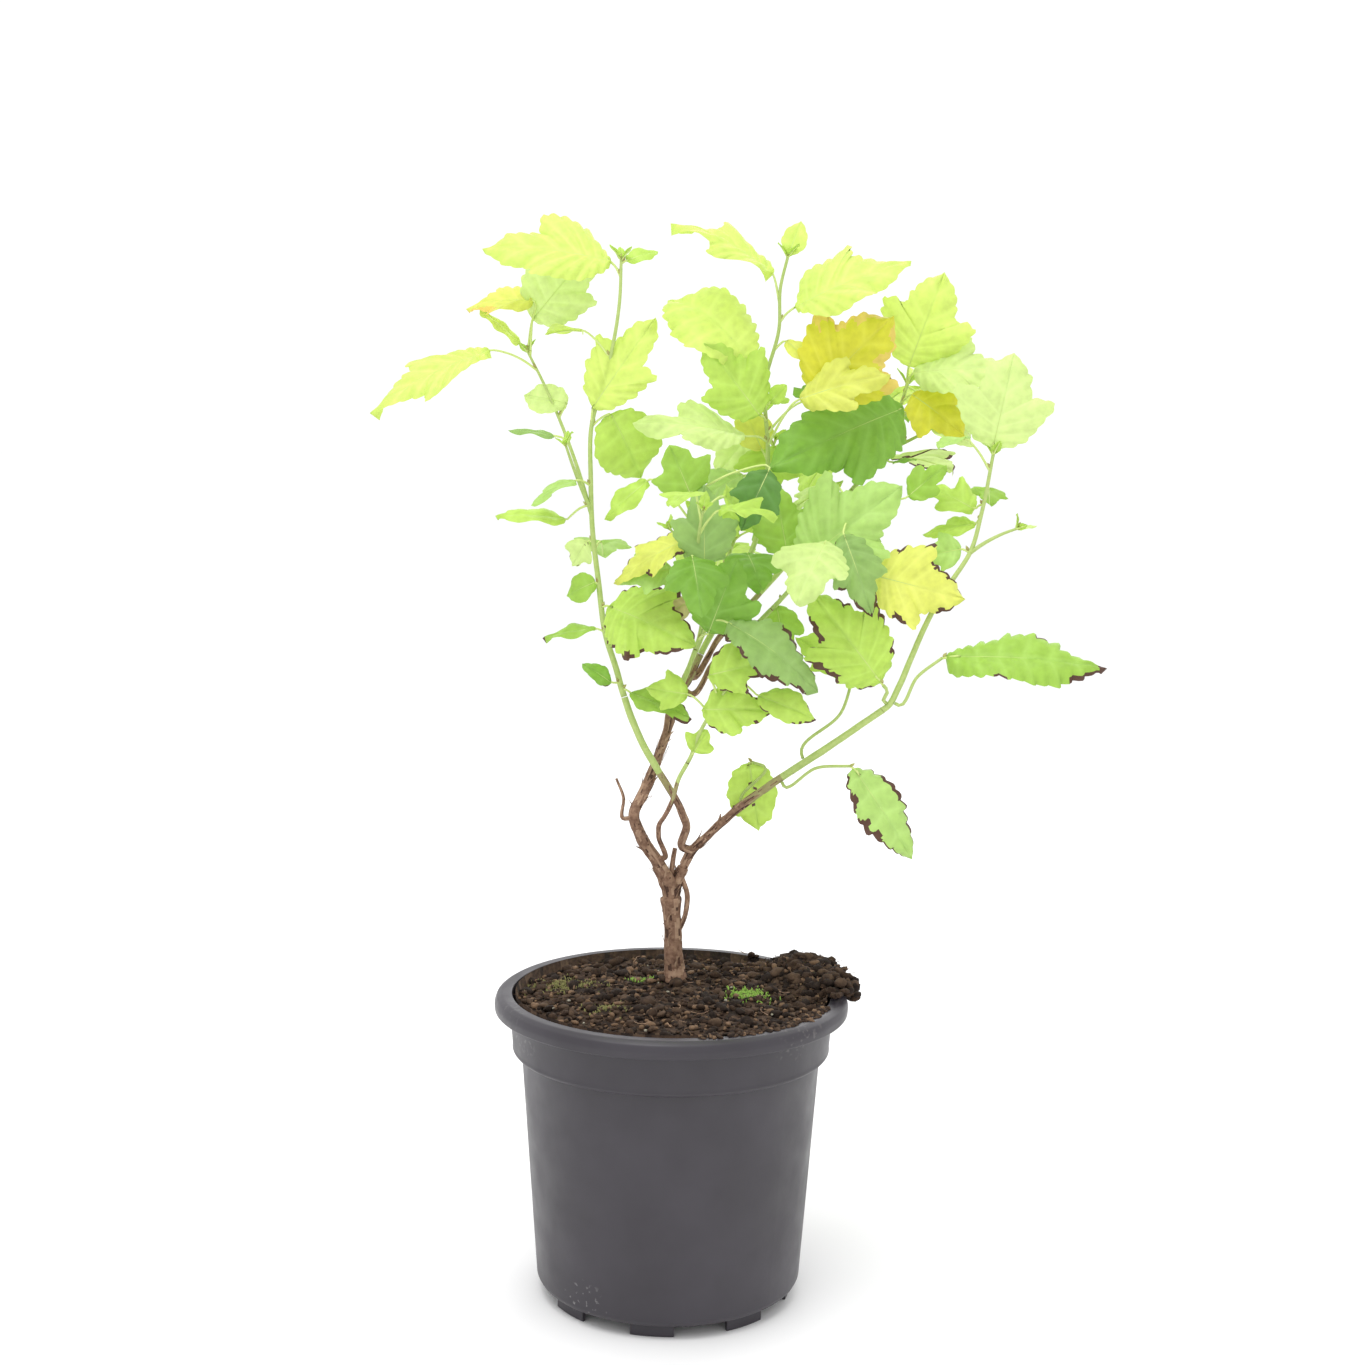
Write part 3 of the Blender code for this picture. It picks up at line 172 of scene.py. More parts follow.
# Each foliage mass: the limb that carries it, its stem, its placed twigs and leaves, and the seeded rule's sizes.
# A twig row has its name, its place on the stem, its length, and its heading and rise at the start and at the end.
# A leaf row has its name, what carries it and where, the petiole (length, heading, rise), the blade (length,
# heading, rise), its width for its length, how far its face tips from the sky to the front, its curl and its kind.
# Headings are degrees from +X towards +Y, and rises are degrees above the level.
MASSES = {
    "foliage_left": dict(
        on=("bough_left_shoot", 1.0),
        way=((-0.028, -0.005, 0.304), (-0.033, -0.003, 0.319), (-0.037, 0.000, 0.345), (-0.040, 0.000, 0.369),
             (-0.041, 0.000, 0.393), (-0.041, 0.000, 0.416), (-0.033, -0.004, 0.445), (-0.028, -0.008, 0.475),
             (-0.0275, -0.008, 0.493)),
        radii=(0.0015, 0.0007),
        twigs=(("outer", 0.42, 0.084, (150, 72), (155, 58)),
               ("dead_tip", 0.43, 0.034, (212, 62), (225, 66))),
        leaves=(("top_left", "stem", 0.96, (9, 150, 55), (60, 188, 14), 0.80, 42, 25, "lobed"),
                ("top_small", "stem", 0.99, (3, 10, 30), (17, 22, 25), 0.60, 40, 20, "oval"),
                ("upright", "stem", 0.62, (9, 280, 75), (51, 345, 55), 0.62, 75, 10, "lobed"),
                ("round", "stem", 0.62, (11, 0, 35), (38, 15, -60), 0.90, 70, 40, "oval"),
                ("big_bright", "stem", 0.21, (6, 310, 10), (50, 322, -12), 0.85, 60, 20, "lobed"),
                ("low_a", "stem", 0.26, (3, 220, 40), (17, 165, -22), 0.90, 60, 20, "oval"),
                ("dark_end", "stem", 0.15, (5, 190, 30), (27, 170, -5), 0.50, 20, 15, "oval"),
                ("low_b", "stem", 0.03, (5, 215, 10), (17, 205, 38), 0.55, 50, 20, "oval"),
                ("dark_ends", "stem", 0.02, (5, 330, -20), (33, 336, -12), 0.42, 30, 15, "oval"),
                ("spotted", "stem", 0.36, (4, 150, 10), (16, 150, -55), 0.90, 70, 15, "lobed"),
                ("left_edge", "dead_tip", 0.10, (13, 200, -32), (33, 190, 12), 0.50, 20, 20, "oval"),
                ("big_pale", "outer", 1.00, (15, 315, 78), (46, 345, 50), 0.85, 75, 15, "lobed"),
                ("orange", "outer", 0.97, (26, 292, 80), (36, 170, 8), 0.60, 40, 35, "lobed"),
                ("slender_up", "outer", 0.99, (6, 180, 50), (26, 168, 45), 0.35, 15, 15, "oval"),
                ("far_left", "outer", 0.88, (24, 187, 22), (64, 193, -17), 0.55, 25, 25, "lobed"),
                ("small_mid", "outer", 0.58, (8, 20, 60), (23, 168, 15), 0.75, 60, 20, "oval"),
                ("slender_low", "outer", 0.44, (7, 168, 20), (23, 170, 13), 0.35, 15, 15, "oval")),
        space=((-0.045, 0.010, 0.400), (0.070, 0.055, 0.115)),
        seeded=dict(seed=11, twigs=0, leaves=6, blade=(0.030, 0.018), twig=(0.0, 0.0))),
    "foliage_centre": dict(
        on=("bough_left", 1.0),
        way=((0.023, 0.004, 0.332), (0.033, 0.010, 0.354), (0.041, 0.013, 0.380), (0.042, 0.014, 0.408),
             (0.040, 0.012, 0.438), (0.046, 0.009, 0.464), (0.046, 0.004, 0.482), (0.049, 0.000, 0.496)),
        radii=(0.0015, 0.0007),
        twigs=(),
        leaves=(("centre_top", "stem", 0.88, (15, 228, 70), (54, 188, 42), 0.55, 25, 38, "lobed"),
                ("top_tiny", "stem", 0.99, (3, 300, 60), (17, 22, 70), 0.70, 60, 10, "oval"),
                ("arched", "stem", 0.69, (14, 217, 45), (60, 193, 56), 0.62, 50, 82, "oval"),
                ("lobed_left", "stem", 0.60, (10, 250, 15), (43, 205, 50), 0.85, 70, 15, "lobed"),
                ("pale_left", "stem", 0.55, (15, 222, 10), (54, 196, 16), 0.60, 35, 25, "lobed"),
                ("small_right", "stem", 0.63, (5, 305, 40), (12, 320, 42), 0.80, 60, 10, "oval"),
                ("top_right", "stem", 0.84, (10, 345, 45), (58, 350, 30), 0.90, 34, 20, "lobed"),
                ("yellow_bit", "stem", 0.77, (8, 342, 40), (15, 330, -35), 0.60, 50, 20, "oval"),
                ("amber", "stem", 0.57, (29, 331, 38), (53, 350, 46), 0.92, 75, 15, "lobed"),
                ("pale_yellow", "stem", 0.54, (31, 308, 45), (44, 338, 20), 0.65, 60, 20, "lobed"),
                ("yellow_back", "stem", 0.50, (8, 120, 48), (24, 150, 64), 0.80, 60, 15, "oval")),
        space=((0.045, 0.012, 0.405), (0.062, 0.060, 0.105)),
        seeded=dict(seed=23, twigs=0, leaves=10, blade=(0.044, 0.024), twig=(0.0, 0.0))),
    "foliage_back_right": dict(
        on=("bough_back_right", 1.0),
        way=((0.092, 0.042, 0.401), (0.101, 0.045, 0.414), (0.108, 0.048, 0.430), (0.111, 0.049, 0.440)),
        radii=(0.0012, 0.0008),
        twigs=(),
        leaves=(("green_back", "stem", 0.74, (16, 275, 10), (80, 215, -17), 0.70, 65, 15, "lobed"),
                ("yellow_right", "stem", 0.83, (8, 313, 35), (34, 328, -30), 0.95, 60, 20, "lobed"),
                ("lime_lobed", "stem", 0.97, (12, 270, 53), (48, 325, 68), 0.92, 75, 15, "lobed"),
                ("pale_right", "stem", 0.90, (14, 290, 50), (50, 340, 8), 0.62, 60, 20, "lobed"),
                ("little", "stem", 0.30, (12, 327, -5), (13, 330, 12), 0.45, 20, 10, "oval")),
        space=((0.095, 0.062, 0.412), (0.062, 0.052, 0.072)),
        seeded=dict(seed=31, twigs=2, leaves=9, blade=(0.048, 0.030), twig=(0.030, 0.045))),
    "foliage_right_tip": dict(
        on=("bough_right_outer", 1.0),
        way=((0.127, -0.024, 0.351), (0.134, -0.022, 0.362), (0.139, -0.020, 0.380), (0.1435, -0.020, 0.407)),
        radii=(0.0012, 0.0008),
        twigs=(("thin", 0.36, 0.024, (350, 40), (358, 18)),),
        leaves=(("fan", "stem", 0.98, (4, 250, 80), (44, 322, 77), 1.00, 80, 10, "lobed"),
                ("bud_side", "stem", 0.68, (7, 120, -20), (27, 150, 28), 0.75, 55, 20, "lobed"),
                ("lower", "stem", 0.58, (6, 100, -20), (29, 150, -5), 0.50, 45, 20, "lobed"),
                ("notched", "stem", 0.36, (5, 145, 20), (18, 155, -12), 1.05, 70, 10, "lobed"),
                ("thin_leaf", "thin", 0.98, (2, 0, 15), (8, 0, 12), 0.35, 30, 10, "oval")),
        space=((0.132, -0.018, 0.385), (0.040, 0.040, 0.050)),
        seeded=dict(seed=43, twigs=0, leaves=4, blade=(0.026, 0.018), twig=(0.0, 0.0))),
    "foliage_mid_right": dict(
        on=("bough_mid_right", 1.0),
        way=((0.056, -0.016, 0.348), (0.070, -0.019, 0.364), (0.082, -0.021, 0.382)),
        radii=(0.0011, 0.0007),
        twigs=(),
        leaves=(("veined", "stem", 0.35, (10, 265, 40), (57, 346, 40), 0.82, 70, 15, "lobed"),
                ("grey_down", "stem", 0.88, (16, 258, -20), (40, 318, -62), 0.65, 65, 20, "lobed"),
                ("two_lobe", "stem", 0.98, (28, 25, 12), (23, 338, 42), 0.75, 60, 15, "lobed"),
                ("yellow_scorched", "stem", 0.72, (24, -25, -42), (44, 350, -12), 0.95, 75, 10, "lobed"),
                ("green_up", "stem", 0.30, (14, 123, 50), (34, 227, 74), 0.85, 70, 15, "lobed"),
                ("down_green", "stem", 0.10, (10, 100, -20), (26, 310, -72), 0.85, 70, 20, "lobed")),
        space=((0.080, -0.020, 0.362), (0.066, 0.050, 0.066)),
        seeded=dict(seed=59, twigs=1, leaves=9, blade=(0.044, 0.028), twig=(0.028, 0.040))),
    "foliage_front": dict(
        on=("bough_front", 1.0),
        way=((0.012, -0.017, 0.330), (0.010, -0.019, 0.350), (0.008, -0.020, 0.375), (0.009, -0.021, 0.398)),
        radii=(0.0011, 0.0007),
        twigs=(),
        leaves=(("two_lobe_top", "stem", 0.90, (6, 240, -40), (26, 211, 63), 1.10, 75, 10, "lobed"),
                ("grey", "stem", 0.45, (8, 290, 13), (38, 264, 80), 0.75, 65, 15, "lobed"),
                ("dark_blue", "stem", 0.88, (35, 350, 18), (31, 214, -60), 0.72, 70, 20, "lobed"),
                ("mid_green", "stem", 0.05, (13, 291, 20), (38, 318, 65), 0.95, 75, 15, "lobed"),
                ("yellow_edge", "stem", 0.62, (5, 218, 5), (40, 190, -22), 0.55, 35, 25, "lobed"),
                ("light_low", "stem", 0.42, (12, 183, 14), (28, 197, -5), 0.75, 55, 20, "lobed"),
                ("pinkish", "stem", 0.25, (8, 140, 10), (27, 195, -26), 0.70, 50, 20, "lobed"),
                ("folded", "stem", 0.68, (32, 160, 42), (27, 191, -38), 0.45, 45, 15, "oval"),
                ("pale_droop", "stem", 0.12, (24, 300, 12), (53, 345, -24), 0.50, 40, 35, "oval")),
        space=((0.004, -0.038, 0.355), (0.052, 0.044, 0.060)),
        seeded=dict(seed=68, twigs=1, leaves=7, blade=(0.038, 0.024), twig=(0.026, 0.036))),
    "foliage_low_front": dict(
        on=("bough_thin", 1.0),
        way=((0.011, -0.023, 0.276), (0.018, -0.029, 0.290), (0.026, -0.034, 0.304), (0.031, -0.037, 0.316)),
        radii=(0.0010, 0.0007),
        twigs=(),
        leaves=(("pair", "stem", 0.06, (3, 300, 40), (13, 330, 58), 1.20, 75, 10, "lobed"),
                ("dark_tip_a", "stem", 0.40, (8, 245, 40), (33, 345, 5), 0.80, 60, 15, "lobed"),
                ("dark_tip_b", "stem", 0.78, (14, 345, -30), (29, 343, -15), 0.62, 45, 15, "oval"),
                ("bright_edge", "stem", 0.58, (14, 225, 60), (29, 347, 16), 0.90, 65, 10, "lobed"),
                ("square", "stem", 0.44, (14, 161, 40), (20, 174, 8), 0.95, 70, 10, "lobed")),
        space=((0.026, -0.036, 0.300), (0.042, 0.040, 0.034)),
        seeded=dict(seed=71, twigs=0, leaves=5, blade=(0.030, 0.020), twig=(0.0, 0.0))),
    "foliage_back": dict(
        on=("bough_back", 1.0),
        way=((0.022, 0.050, 0.345), (0.030, 0.058, 0.368), (0.040, 0.064, 0.392), (0.048, 0.068, 0.412)),
        radii=(0.0011, 0.0007),
        twigs=(),
        leaves=(),
        space=((0.050, 0.068, 0.372), (0.068, 0.056, 0.078)),
        seeded=dict(seed=83, twigs=4, leaves=12, blade=(0.050, 0.032), twig=(0.034, 0.052))),
}

# Sprays from the right bough: what carries each, its way and radii, and its one leaf
SPRAYS = {
    "spray_front": (("bough_right", 0.36), ((0.043, -0.002, 0.258), (0.037, 0.002, 0.2595)), (0.0008, 0.0007),
        ("front_leaf", "stem", 0.98, (2, 180, 0), (34, 335, -80), 0.70, 85, 15, "oval")),
    "spray_hanging": (("bough_right", 0.55), ((0.066, -0.026, 0.262), (0.081, -0.032, 0.264)),
                      (0.0008, 0.0007),
        ("hanging", "stem", 0.98, (2, 335, -20), (51, 337, -50), 0.42, 60, 25, "oval")),
    "spray_far_right": (("bough_right_outer", 0.10), ((0.110, -0.035, 0.306), (0.121, -0.036, 0.315)),
                        (0.0008, 0.0007),
        ("far_right", "stem", 0.98, (2, 350, 20), (73, 349, 5), 0.36, 40, 20, "oval")),
    "spray_scorched": (("bough_right_outer", 0.06), ((0.0965, -0.035, 0.2995), (0.0945, -0.036, 0.302)),
                       (0.0009, 0.0008),
        ("scorched_mid", "stem", 0.95, (2, 176, 50), (53, 176, 53), 0.78, 65, 15, "lobed")),
    "spray_upright": (("bough_right", 0.66), ((0.0770, -0.023, 0.288), (0.0825, -0.020, 0.306)),
                      (0.0008, 0.0007),
        ("upright_behind", "stem", 0.98, (2, 100, 60), (31, 185, 32), 0.70, 60, 15, "lobed")),
}
for spray, (carrier, way, radii, leaf_row) in SPRAYS.items():
    MASSES[spray] = dict(on=carrier, way=way, radii=radii, twigs=(), leaves=(leaf_row,), space=None,
                         seeded=None)

# Fine leaves: half a margin from base to tip, as place along, share of the half width, and place on the midrib
LOBED_MARGIN = ((0.00, 0.00, 0.00), (0.01, 0.16, 0.03), (0.06, 0.38, 0.06), (0.15, 0.62, 0.10),
                (0.28, 0.80, 0.15),
                (0.42, 0.93, 0.20), (0.56, 1.04, 0.25), (0.585, 0.84, 0.31), (0.57, 0.58, 0.37),
                (0.65, 0.50, 0.45),
                (0.75, 0.46, 0.56), (0.85, 0.35, 0.70), (0.93, 0.18, 0.86), (1.00, 0.00, 1.00))
OVAL_MARGIN = ((0.00, 0.00, 0.00), (0.02, 0.30, 0.04), (0.11, 0.62, 0.11), (0.24, 0.88, 0.21),
               (0.40, 1.00, 0.35),
               (0.56, 0.93, 0.51), (0.72, 0.72, 0.68), (0.87, 0.40, 0.85), (1.00, 0.00, 1.00))
ACROSS = (0.16, 0.34, 0.52, 0.68, 0.82, 0.92, 1.0)
TOOTH_PITCH = 0.0058
TOOTH_PROFILE = (0.0, 0.60, 1.0, 0.72)
TOOTH_DEPTH = 0.042
VEIN_EVERY = 8
VEIN_AT = 6
QUILT = 0.0085
WAVE = 0.045
EDGE_DROP = 0.065
PETIOLE_FINE = (0.00062, 0.00048)
BUD_LENGTH = 0.0032
LEAF_ROUGHNESS = 0.46
LIGHT_THROUGH = 0.30

# The tint of each placed leaf, and how its edge is marked
LOOKS = {
    "top_left": ("bright", ""), "top_small": ("lime", ""), "upright": ("bright", ""), "round": ("lime", ""),
    "big_bright": ("lime", "rim"), "low_a": ("mid", ""), "dark_end": ("mid", "tip"),
    "low_b": ("green", "rim"),
    "dark_ends": ("mid", "tip"), "spotted": ("pale", "spots"), "left_edge": ("lime", ""),
    "big_pale": ("pale", ""),
    "orange": ("yellow", "orange"), "slender_up": ("bright", ""), "far_left": ("bright", ""),
    "small_mid": ("pale", ""), "slender_low": ("grey", ""), "centre_top": ("bright", ""),
    "top_tiny": ("bright", ""),
    "arched": ("bright", ""), "lobed_left": ("lime", ""), "pale_left": ("pale", ""),
    "small_right": ("lime", ""),
    "top_right": ("bright", ""), "yellow_bit": ("yellow", ""), "amber": ("amber", "orange"),
    "pale_yellow": ("yellow", ""), "yellow_back": ("yellow", ""), "green_back": ("green", ""),
    "yellow_right": ("amber", ""), "lime_lobed": ("bright", ""), "pale_right": ("pale", ""),
    "little": ("green", ""),
    "fan": ("pale", ""), "bud_side": ("lime", ""), "lower": ("lime", ""), "notched": ("light", ""),
    "thin_leaf": ("pale", ""), "veined": ("light", ""), "grey_down": ("grey", "tip"), "two_lobe": ("mid", ""),
    "yellow_scorched": ("yellow", "rim"), "green_up": ("mid", ""), "down_green": ("mid", ""),
    "two_lobe_top": ("mid", ""), "grey": ("grey", ""), "dark_blue": ("dark", ""), "mid_green": ("green", ""),
    "yellow_edge": ("yellow", "rim"), "light_low": ("light", ""), "pinkish": ("pink", ""),
    "folded": ("lime", ""),
    "pale_droop": ("grey", "rim"), "pair": ("lime", ""), "dark_tip_a": ("lime", "tip"),
    "dark_tip_b": ("lime", "tip"),
    "bright_edge": ("lime", "rim"), "square": ("lime", ""), "front_leaf": ("lime", "spots"),
    "hanging": ("light", "heavy"), "far_right": ("mid", "tip"), "scorched_mid": ("lime", "rim"),
    "upright_behind": ("lime", ""),
}
# Seeded leaves take their tint by height. This is partly the leaves' own tints and partly painted light: paler,
# brighter tints high up where the top light falls, and painted shade in the darker tints low down
HIGH_TINTS = ("bright", "pale", "lime", "bright", "yellow")
MIDDLE_TINTS = ("lime", "light", "mid", "lime", "pale")
LOW_TINTS = ("mid", "green", "light", "mid", "lime")
HIGH_ABOVE = 0.425
LOW_BELOW = 0.365
LEAF_COLOURS = {
    "bright": (0.64, 0.80, 0.17),
    "lime": (0.48, 0.69, 0.115),
    "pale": (0.63, 0.79, 0.28),
    "yellow": (0.72, 0.76, 0.15),
    "amber": (0.68, 0.66, 0.05),
    "light": (0.43, 0.65, 0.17),
    "mid": (0.34, 0.56, 0.08),
    "green": (0.23, 0.45, 0.06),
    "dark": (0.13, 0.29, 0.06),
    "grey": (0.32, 0.50, 0.15),
    "pink": (0.60, 0.52, 0.25),
    "orange": (0.78, 0.60, 0.14),
    "scorch": (0.105, 0.052, 0.034),
}

# Bark
BARK_SIDES = 24
BARK_STEP = 0.0009
BARK_RELIEF = 0.00050
FULL_RELIEF_RADIUS = 0.0028
BOUGH_FLARE = 0.0004
NEVER_GREEN = 9.0
# The share of each limb at which its brown bark gives way to the green shoot
GREEN_FROM = {"bough_left": 0.93, "bough_right": 0.46, "bough_right_outer": -1.0, "bough_left_shoot": 0.46,
              "bough_thin": 0.72, "bough_back_right": 0.35, "bough_back": 0.40, "bough_front": 0.30,
              "bough_mid_right": 0.35, "dead_twig": NEVER_GREEN}
SLIMMER = {"bough_right": 0.78, "bough_left_shoot": 0.78}
PEEL_SEED = 17

# Pot surface
POT_TURNS = 192
POT_EASE = 0.0007
NOTCH_STEP = 0.0008
SHARP_ANGLE = math.radians(40)
POT_SHADES = ((0.027, 0.023, 0.030), (0.041, 0.036, 0.046))
# Scuffed or dusty places: centre, reach, colour and how much of the fine noise stays clear
POT_MARKS = (((-0.040, -0.052, 0.010), 0.016, (0.24, 0.23, 0.23), 0.60),
             ((0.055, -0.052, 0.146), 0.018, (0.11, 0.10, 0.10), 0.56),
             ((-0.066, -0.030, 0.139), 0.020, (0.11, 0.105, 0.11), 0.55))

# Soil surface
SOIL_TURNS = 168
SOIL_BANDS = 64
CRUMBS = 3000
LUMPS = 420
SPECKS = 34
CHIPS = 120
SOIL_DOME = 0.0050
SOIL_OVER_LIP = 0.0006
LIP_EDGE = MOUTH_RADIUS - 0.0020
HANGING_CRUMBS = 150
HANGING_HEADING = (0.12, 0.14)
LIP_CRUMBS = 240
LIP_CRUMB_HEADINGS = (-1.40, -0.35)
FIBRES = 150
MOSS_PATCHES = ((0.036, -0.006, 0.011, 0.008, "moss_bright", 420),
                (-0.053, 0.012, 0.019, 0.012, "moss_olive", 420),
                (-0.015, 0.016, 0.007, 0.005, "moss_bright", 120),
                (-0.030, -0.030, 0.012, 0.008, "moss_olive", 120))

# Camera, light and floor
CAMERA_PLACE = (0.00341, -0.93834, 0.41427)
CAMERA_TILT_DOWN = 0.124
CAMERA_ROLL = 0.014
CAMERA_LENS = 52.7
SENSOR_WIDTH = 36.0
ROOM_LIGHT = 1.07
SOFTBOXES = {"softbox_top": ((-0.3, -0.5, 1.9), 1.2, 15.0), "softbox_back": ((0.5, 1.3, 1.2), 1.4, 7.0)}
LIGHTS_AIM = Vector((0.0, 0.0, 0.25))
FLOOR_REACH = 30.0


# Geometry shared with the solids

def heading_vector(heading, rise):
    """A unit vector from a heading and a rise in degrees."""
    level = math.cos(math.radians(rise))
    return Vector((
        level * math.cos(math.radians(heading)),
        level * math.sin(math.radians(heading)),
        math.sin(math.radians(rise)),
    ))


def smooth_path(points, per_span=12):
    """Points on a smooth curve through the waypoints, however unevenly they lie."""
    way = [Vector(p) for p in points]
    spans = [(b - a).length for a, b in zip(way, way[1:])]
    slopes = [(b - a) / span for a, b, span in zip(way, way[1:], spans)]
    tangents = [slopes[0]]
    for i in range(1, len(way) - 1):
        share = spans[i - 1] / (spans[i - 1] + spans[i])
        tangents.append(slopes[i - 1].lerp(slopes[i], share))
    tangents.append(slopes[-1])
    out = []
    for i, span in enumerate(spans):
        for k in range(per_span):
            t = k / per_span
            out.append(
                way[i] * (2 * t ** 3 - 3 * t ** 2 + 1)
                + tangents[i] * (span * (t ** 3 - 2 * t ** 2 + t))
                + way[i + 1] * (3 * t ** 2 - 2 * t ** 3)
                + tangents[i + 1] * (span * (t ** 3 - t ** 2))
            )
    out.append(way[-1])
    return out


class Path:
    """A smooth curve that is read by the share of its length."""

    def __init__(self, points):
        self.points = smooth_path(points)
        self.along = [0.0]
        for a, b in zip(self.points, self.points[1:]):
            self.along.append(self.along[-1] + (b - a).length)
        self.length = self.along[-1]

    def at(self, share):
        target = min(max(share, 0.0), 1.0) * self.length
        for i in range(1, len(self.along)):
            if self.along[i] >= target:
                span = self.along[i] - self.along[i - 1]
                t = (target - self.along[i - 1]) / span if span else 0.0
                return self.points[i - 1].lerp(self.points[i], t)
        return self.points[-1].copy()

    def direction(self, share):
        small = 0.01
        return (self.at(share + small) - self.at(share - small)).normalized()


def tube(path, radii, sides, step, flare=0.0, level_start=False):
    """A closed tapering tube round a path, with flat ends. A flare widens its foot."""
    count = max(2, round(path.length / step))
    verts = []
    side = None
    for i in range(count + 1):
        share = i / count
        normal = UP if level_start and i == 0 else path.direction(share)
        side = side or normal.orthogonal()
        side = (side - side.dot(normal) * normal).normalized()
        other = normal.cross(side)
        radius = radii[0] + (radii[1] - radii[0]) * share
        radius += flare * math.exp(-share * path.length / FLARE_FALL)
        for k in range(sides):
            angle = 2 * math.pi * k / sides
            verts.append(path.at(share) + radius * (math.cos(angle) * side + math.sin(angle) * other))
    faces = [tuple(reversed(range(sides)))]
    for i in range(count):
        for k in range(sides):
            a = i * sides + k
            b = i * sides + (k + 1) % sides
            faces.append((a, b, b + sides, a + sides))
    faces.append(tuple(range(count * sides, (count + 1) * sides)))
    return verts, faces


def blade_normal(direction, face):
    """The upper side of a blade: towards the sky, tipped by face degrees towards the front."""
    hint = Vector((0.0, -math.sin(math.radians(face)), math.cos(math.radians(face))))
    flat = hint - hint.dot(direction) * direction
    if flat.length < 0.05:
        flat = direction.orthogonal()
    return flat.normalized()


def blade(base, direction, normal, length, width, curl, kind, grow=0.0):
    """A lobed or oval leaf blade as a thin closed lens that curls down along its midrib."""
    outline, midrib = (LOBED_OUTLINE, LOBED_MIDRIB) if kind == "lobed" else (OVAL_OUTLINE, OVAL_MIDRIB)
    across = direction.cross(normal)
    bend = math.radians(max(curl, 1.0))
    fold = math.tan(math.radians(LEAF_FOLD))
    half_thickness = LEAF_THICKNESS * length / 2 + grow

    def place(along, out, lift):
        reach = (along * (length + 2 * grow) - grow) / length
        turn = bend * reach
        centre = base + direction * (length * math.sin(turn) / bend) - normal * (length
                                                                                 * (1 - math.cos(turn)) / bend)
        rise = normal * math.cos(turn) + direction * math.sin(turn)
        return centre + across * out + rise * (abs(out) * fold + lift)

    reach_out = width / 2 + grow
    rim = [(0.0, 0.0)] + [(u, v * reach_out) for u, v in outline] + [(1.0, 0.0)]
    rim += [(u, -v * reach_out) for u, v in reversed(outline)]
    verts = [place(u, v, 0.0) for u, v in rim]
    tops = []
    bottoms = []
    for u in midrib:
        tops.append(len(verts))
        verts.append(place(u, 0.0, half_thickness))
        bottoms.append(len(verts))
        verts.append(place(u, 0.0, -half_thickness))
    tip = len(outline) + 1
    right = list(range(0, tip + 1))
    left = [0] + list(range(len(rim) - 1, tip - 1, -1))
    faces = []
    for edge, flip in ((right, False), (left, True)):
        faces += [tri[::-1] if flip else tri for tri in fan_to_midrib(edge, tops, rim, midrib)]
        faces += [tri if flip else tri[::-1] for tri in fan_to_midrib(edge, bottoms, rim, midrib)]
    return verts, faces


def fan_to_midrib(edge, spine, rim, midrib):
    """Triangles between one edge of a blade and the points of its midrib, each edge point to the nearest."""
    triangles = []
    nearest = [min(range(len(midrib)), key=lambda k: abs(midrib[k] - rim[i][0])) for i in edge]
    nearest[0] = 0
    nearest[-1] = len(midrib) - 1
    for a, b, near_a, near_b in zip(edge, edge[1:], nearest, nearest[1:]):
        triangles.append((a, b, spine[near_a]))
        for k in range(near_a, near_b):
            triangles.append((b, spine[k + 1], spine[k]))
    return triangles


def tree_of(solid):
    return BVHTree.FromPolygons(solid[0], solid[1], epsilon=0.0)


def pot_outer():
    """The pot's outside from the mouth down to the underside's centre, as radius and height."""
    skirt = POT_HEIGHT - LIP_DEPTH
    return [
        (MOUTH_RADIUS, POT_HEIGHT),
        (LIP_RADIUS - 0.0035, POT_HEIGHT),
        (LIP_RADIUS - 0.0010, POT_HEIGHT - 0.0016),
        (LIP_RADIUS, POT_HEIGHT - 0.0045),
        (LIP_RADIUS - 0.0002, skirt),
        (COLLAR_RADIUS + 0.0004, skirt - 0.0006),
        (LEDGE_RADIUS, COLLAR_FOOT + 0.0016),
        (LEDGE_RADIUS + 0.0002, COLLAR_FOOT),
        (LEDGE_RADIUS - 0.0008, COLLAR_FOOT - 0.0012),
        (BODY_TOP_RADIUS, COLLAR_FOOT - 0.0018),
        (BODY_FOOT_RADIUS, BODY_FOOT),
        (BODY_FOOT_RADIUS - 0.0012, BODY_FOOT - 0.0022),
        (FOOT_RING_RADIUS, FLOOR_UNDERSIDE + 0.0003),
        (FOOT_RING_RADIUS, 0.0),
        (FOOT_RING_RADIUS - FOOT_RING_WIDTH, 0.0),
        (FOOT_RING_RADIUS - FOOT_RING_WIDTH, FLOOR_UNDERSIDE),
        (CENTRE_FOOT_RADIUS + 0.0004, FLOOR_UNDERSIDE),
        (CENTRE_FOOT_RADIUS, 0.0),
        (0.0, 0.0),
    ]


def pot_inner():
    """The pot's inside from the floor's centre up to the mouth."""
    return [
        (0.0, FLOOR_TOP),
        (BODY_FOOT_RADIUS - WALL - 0.0030, FLOOR_TOP),
        (BODY_FOOT_RADIUS - WALL, BODY_FOOT + 0.0010),
        (BODY_TOP_RADIUS - WALL, COLLAR_FOOT - 0.0020),
        (LEDGE_RADIUS - WALL, COLLAR_FOOT + 0.0004),
        (MOUTH_RADIUS - 0.0008, POT_HEIGHT - LIP_DEPTH),
    ]


def faces_between(rows, segments):
    """Faces that join each row of vertices to the next. A row of one vertex is a pole."""
    faces = []
    for a, b in zip(rows, rows[1:]):
        for k in range(segments):
            n = (k + 1) % segments
            if len(a) == 1:
                faces.append((a[0], b[n], b[k]))
            elif len(b) == 1:
                faces.append((a[k], a[n], b[0]))
            else:
                faces.append((a[k], a[n], b[n], b[k]))
    return faces


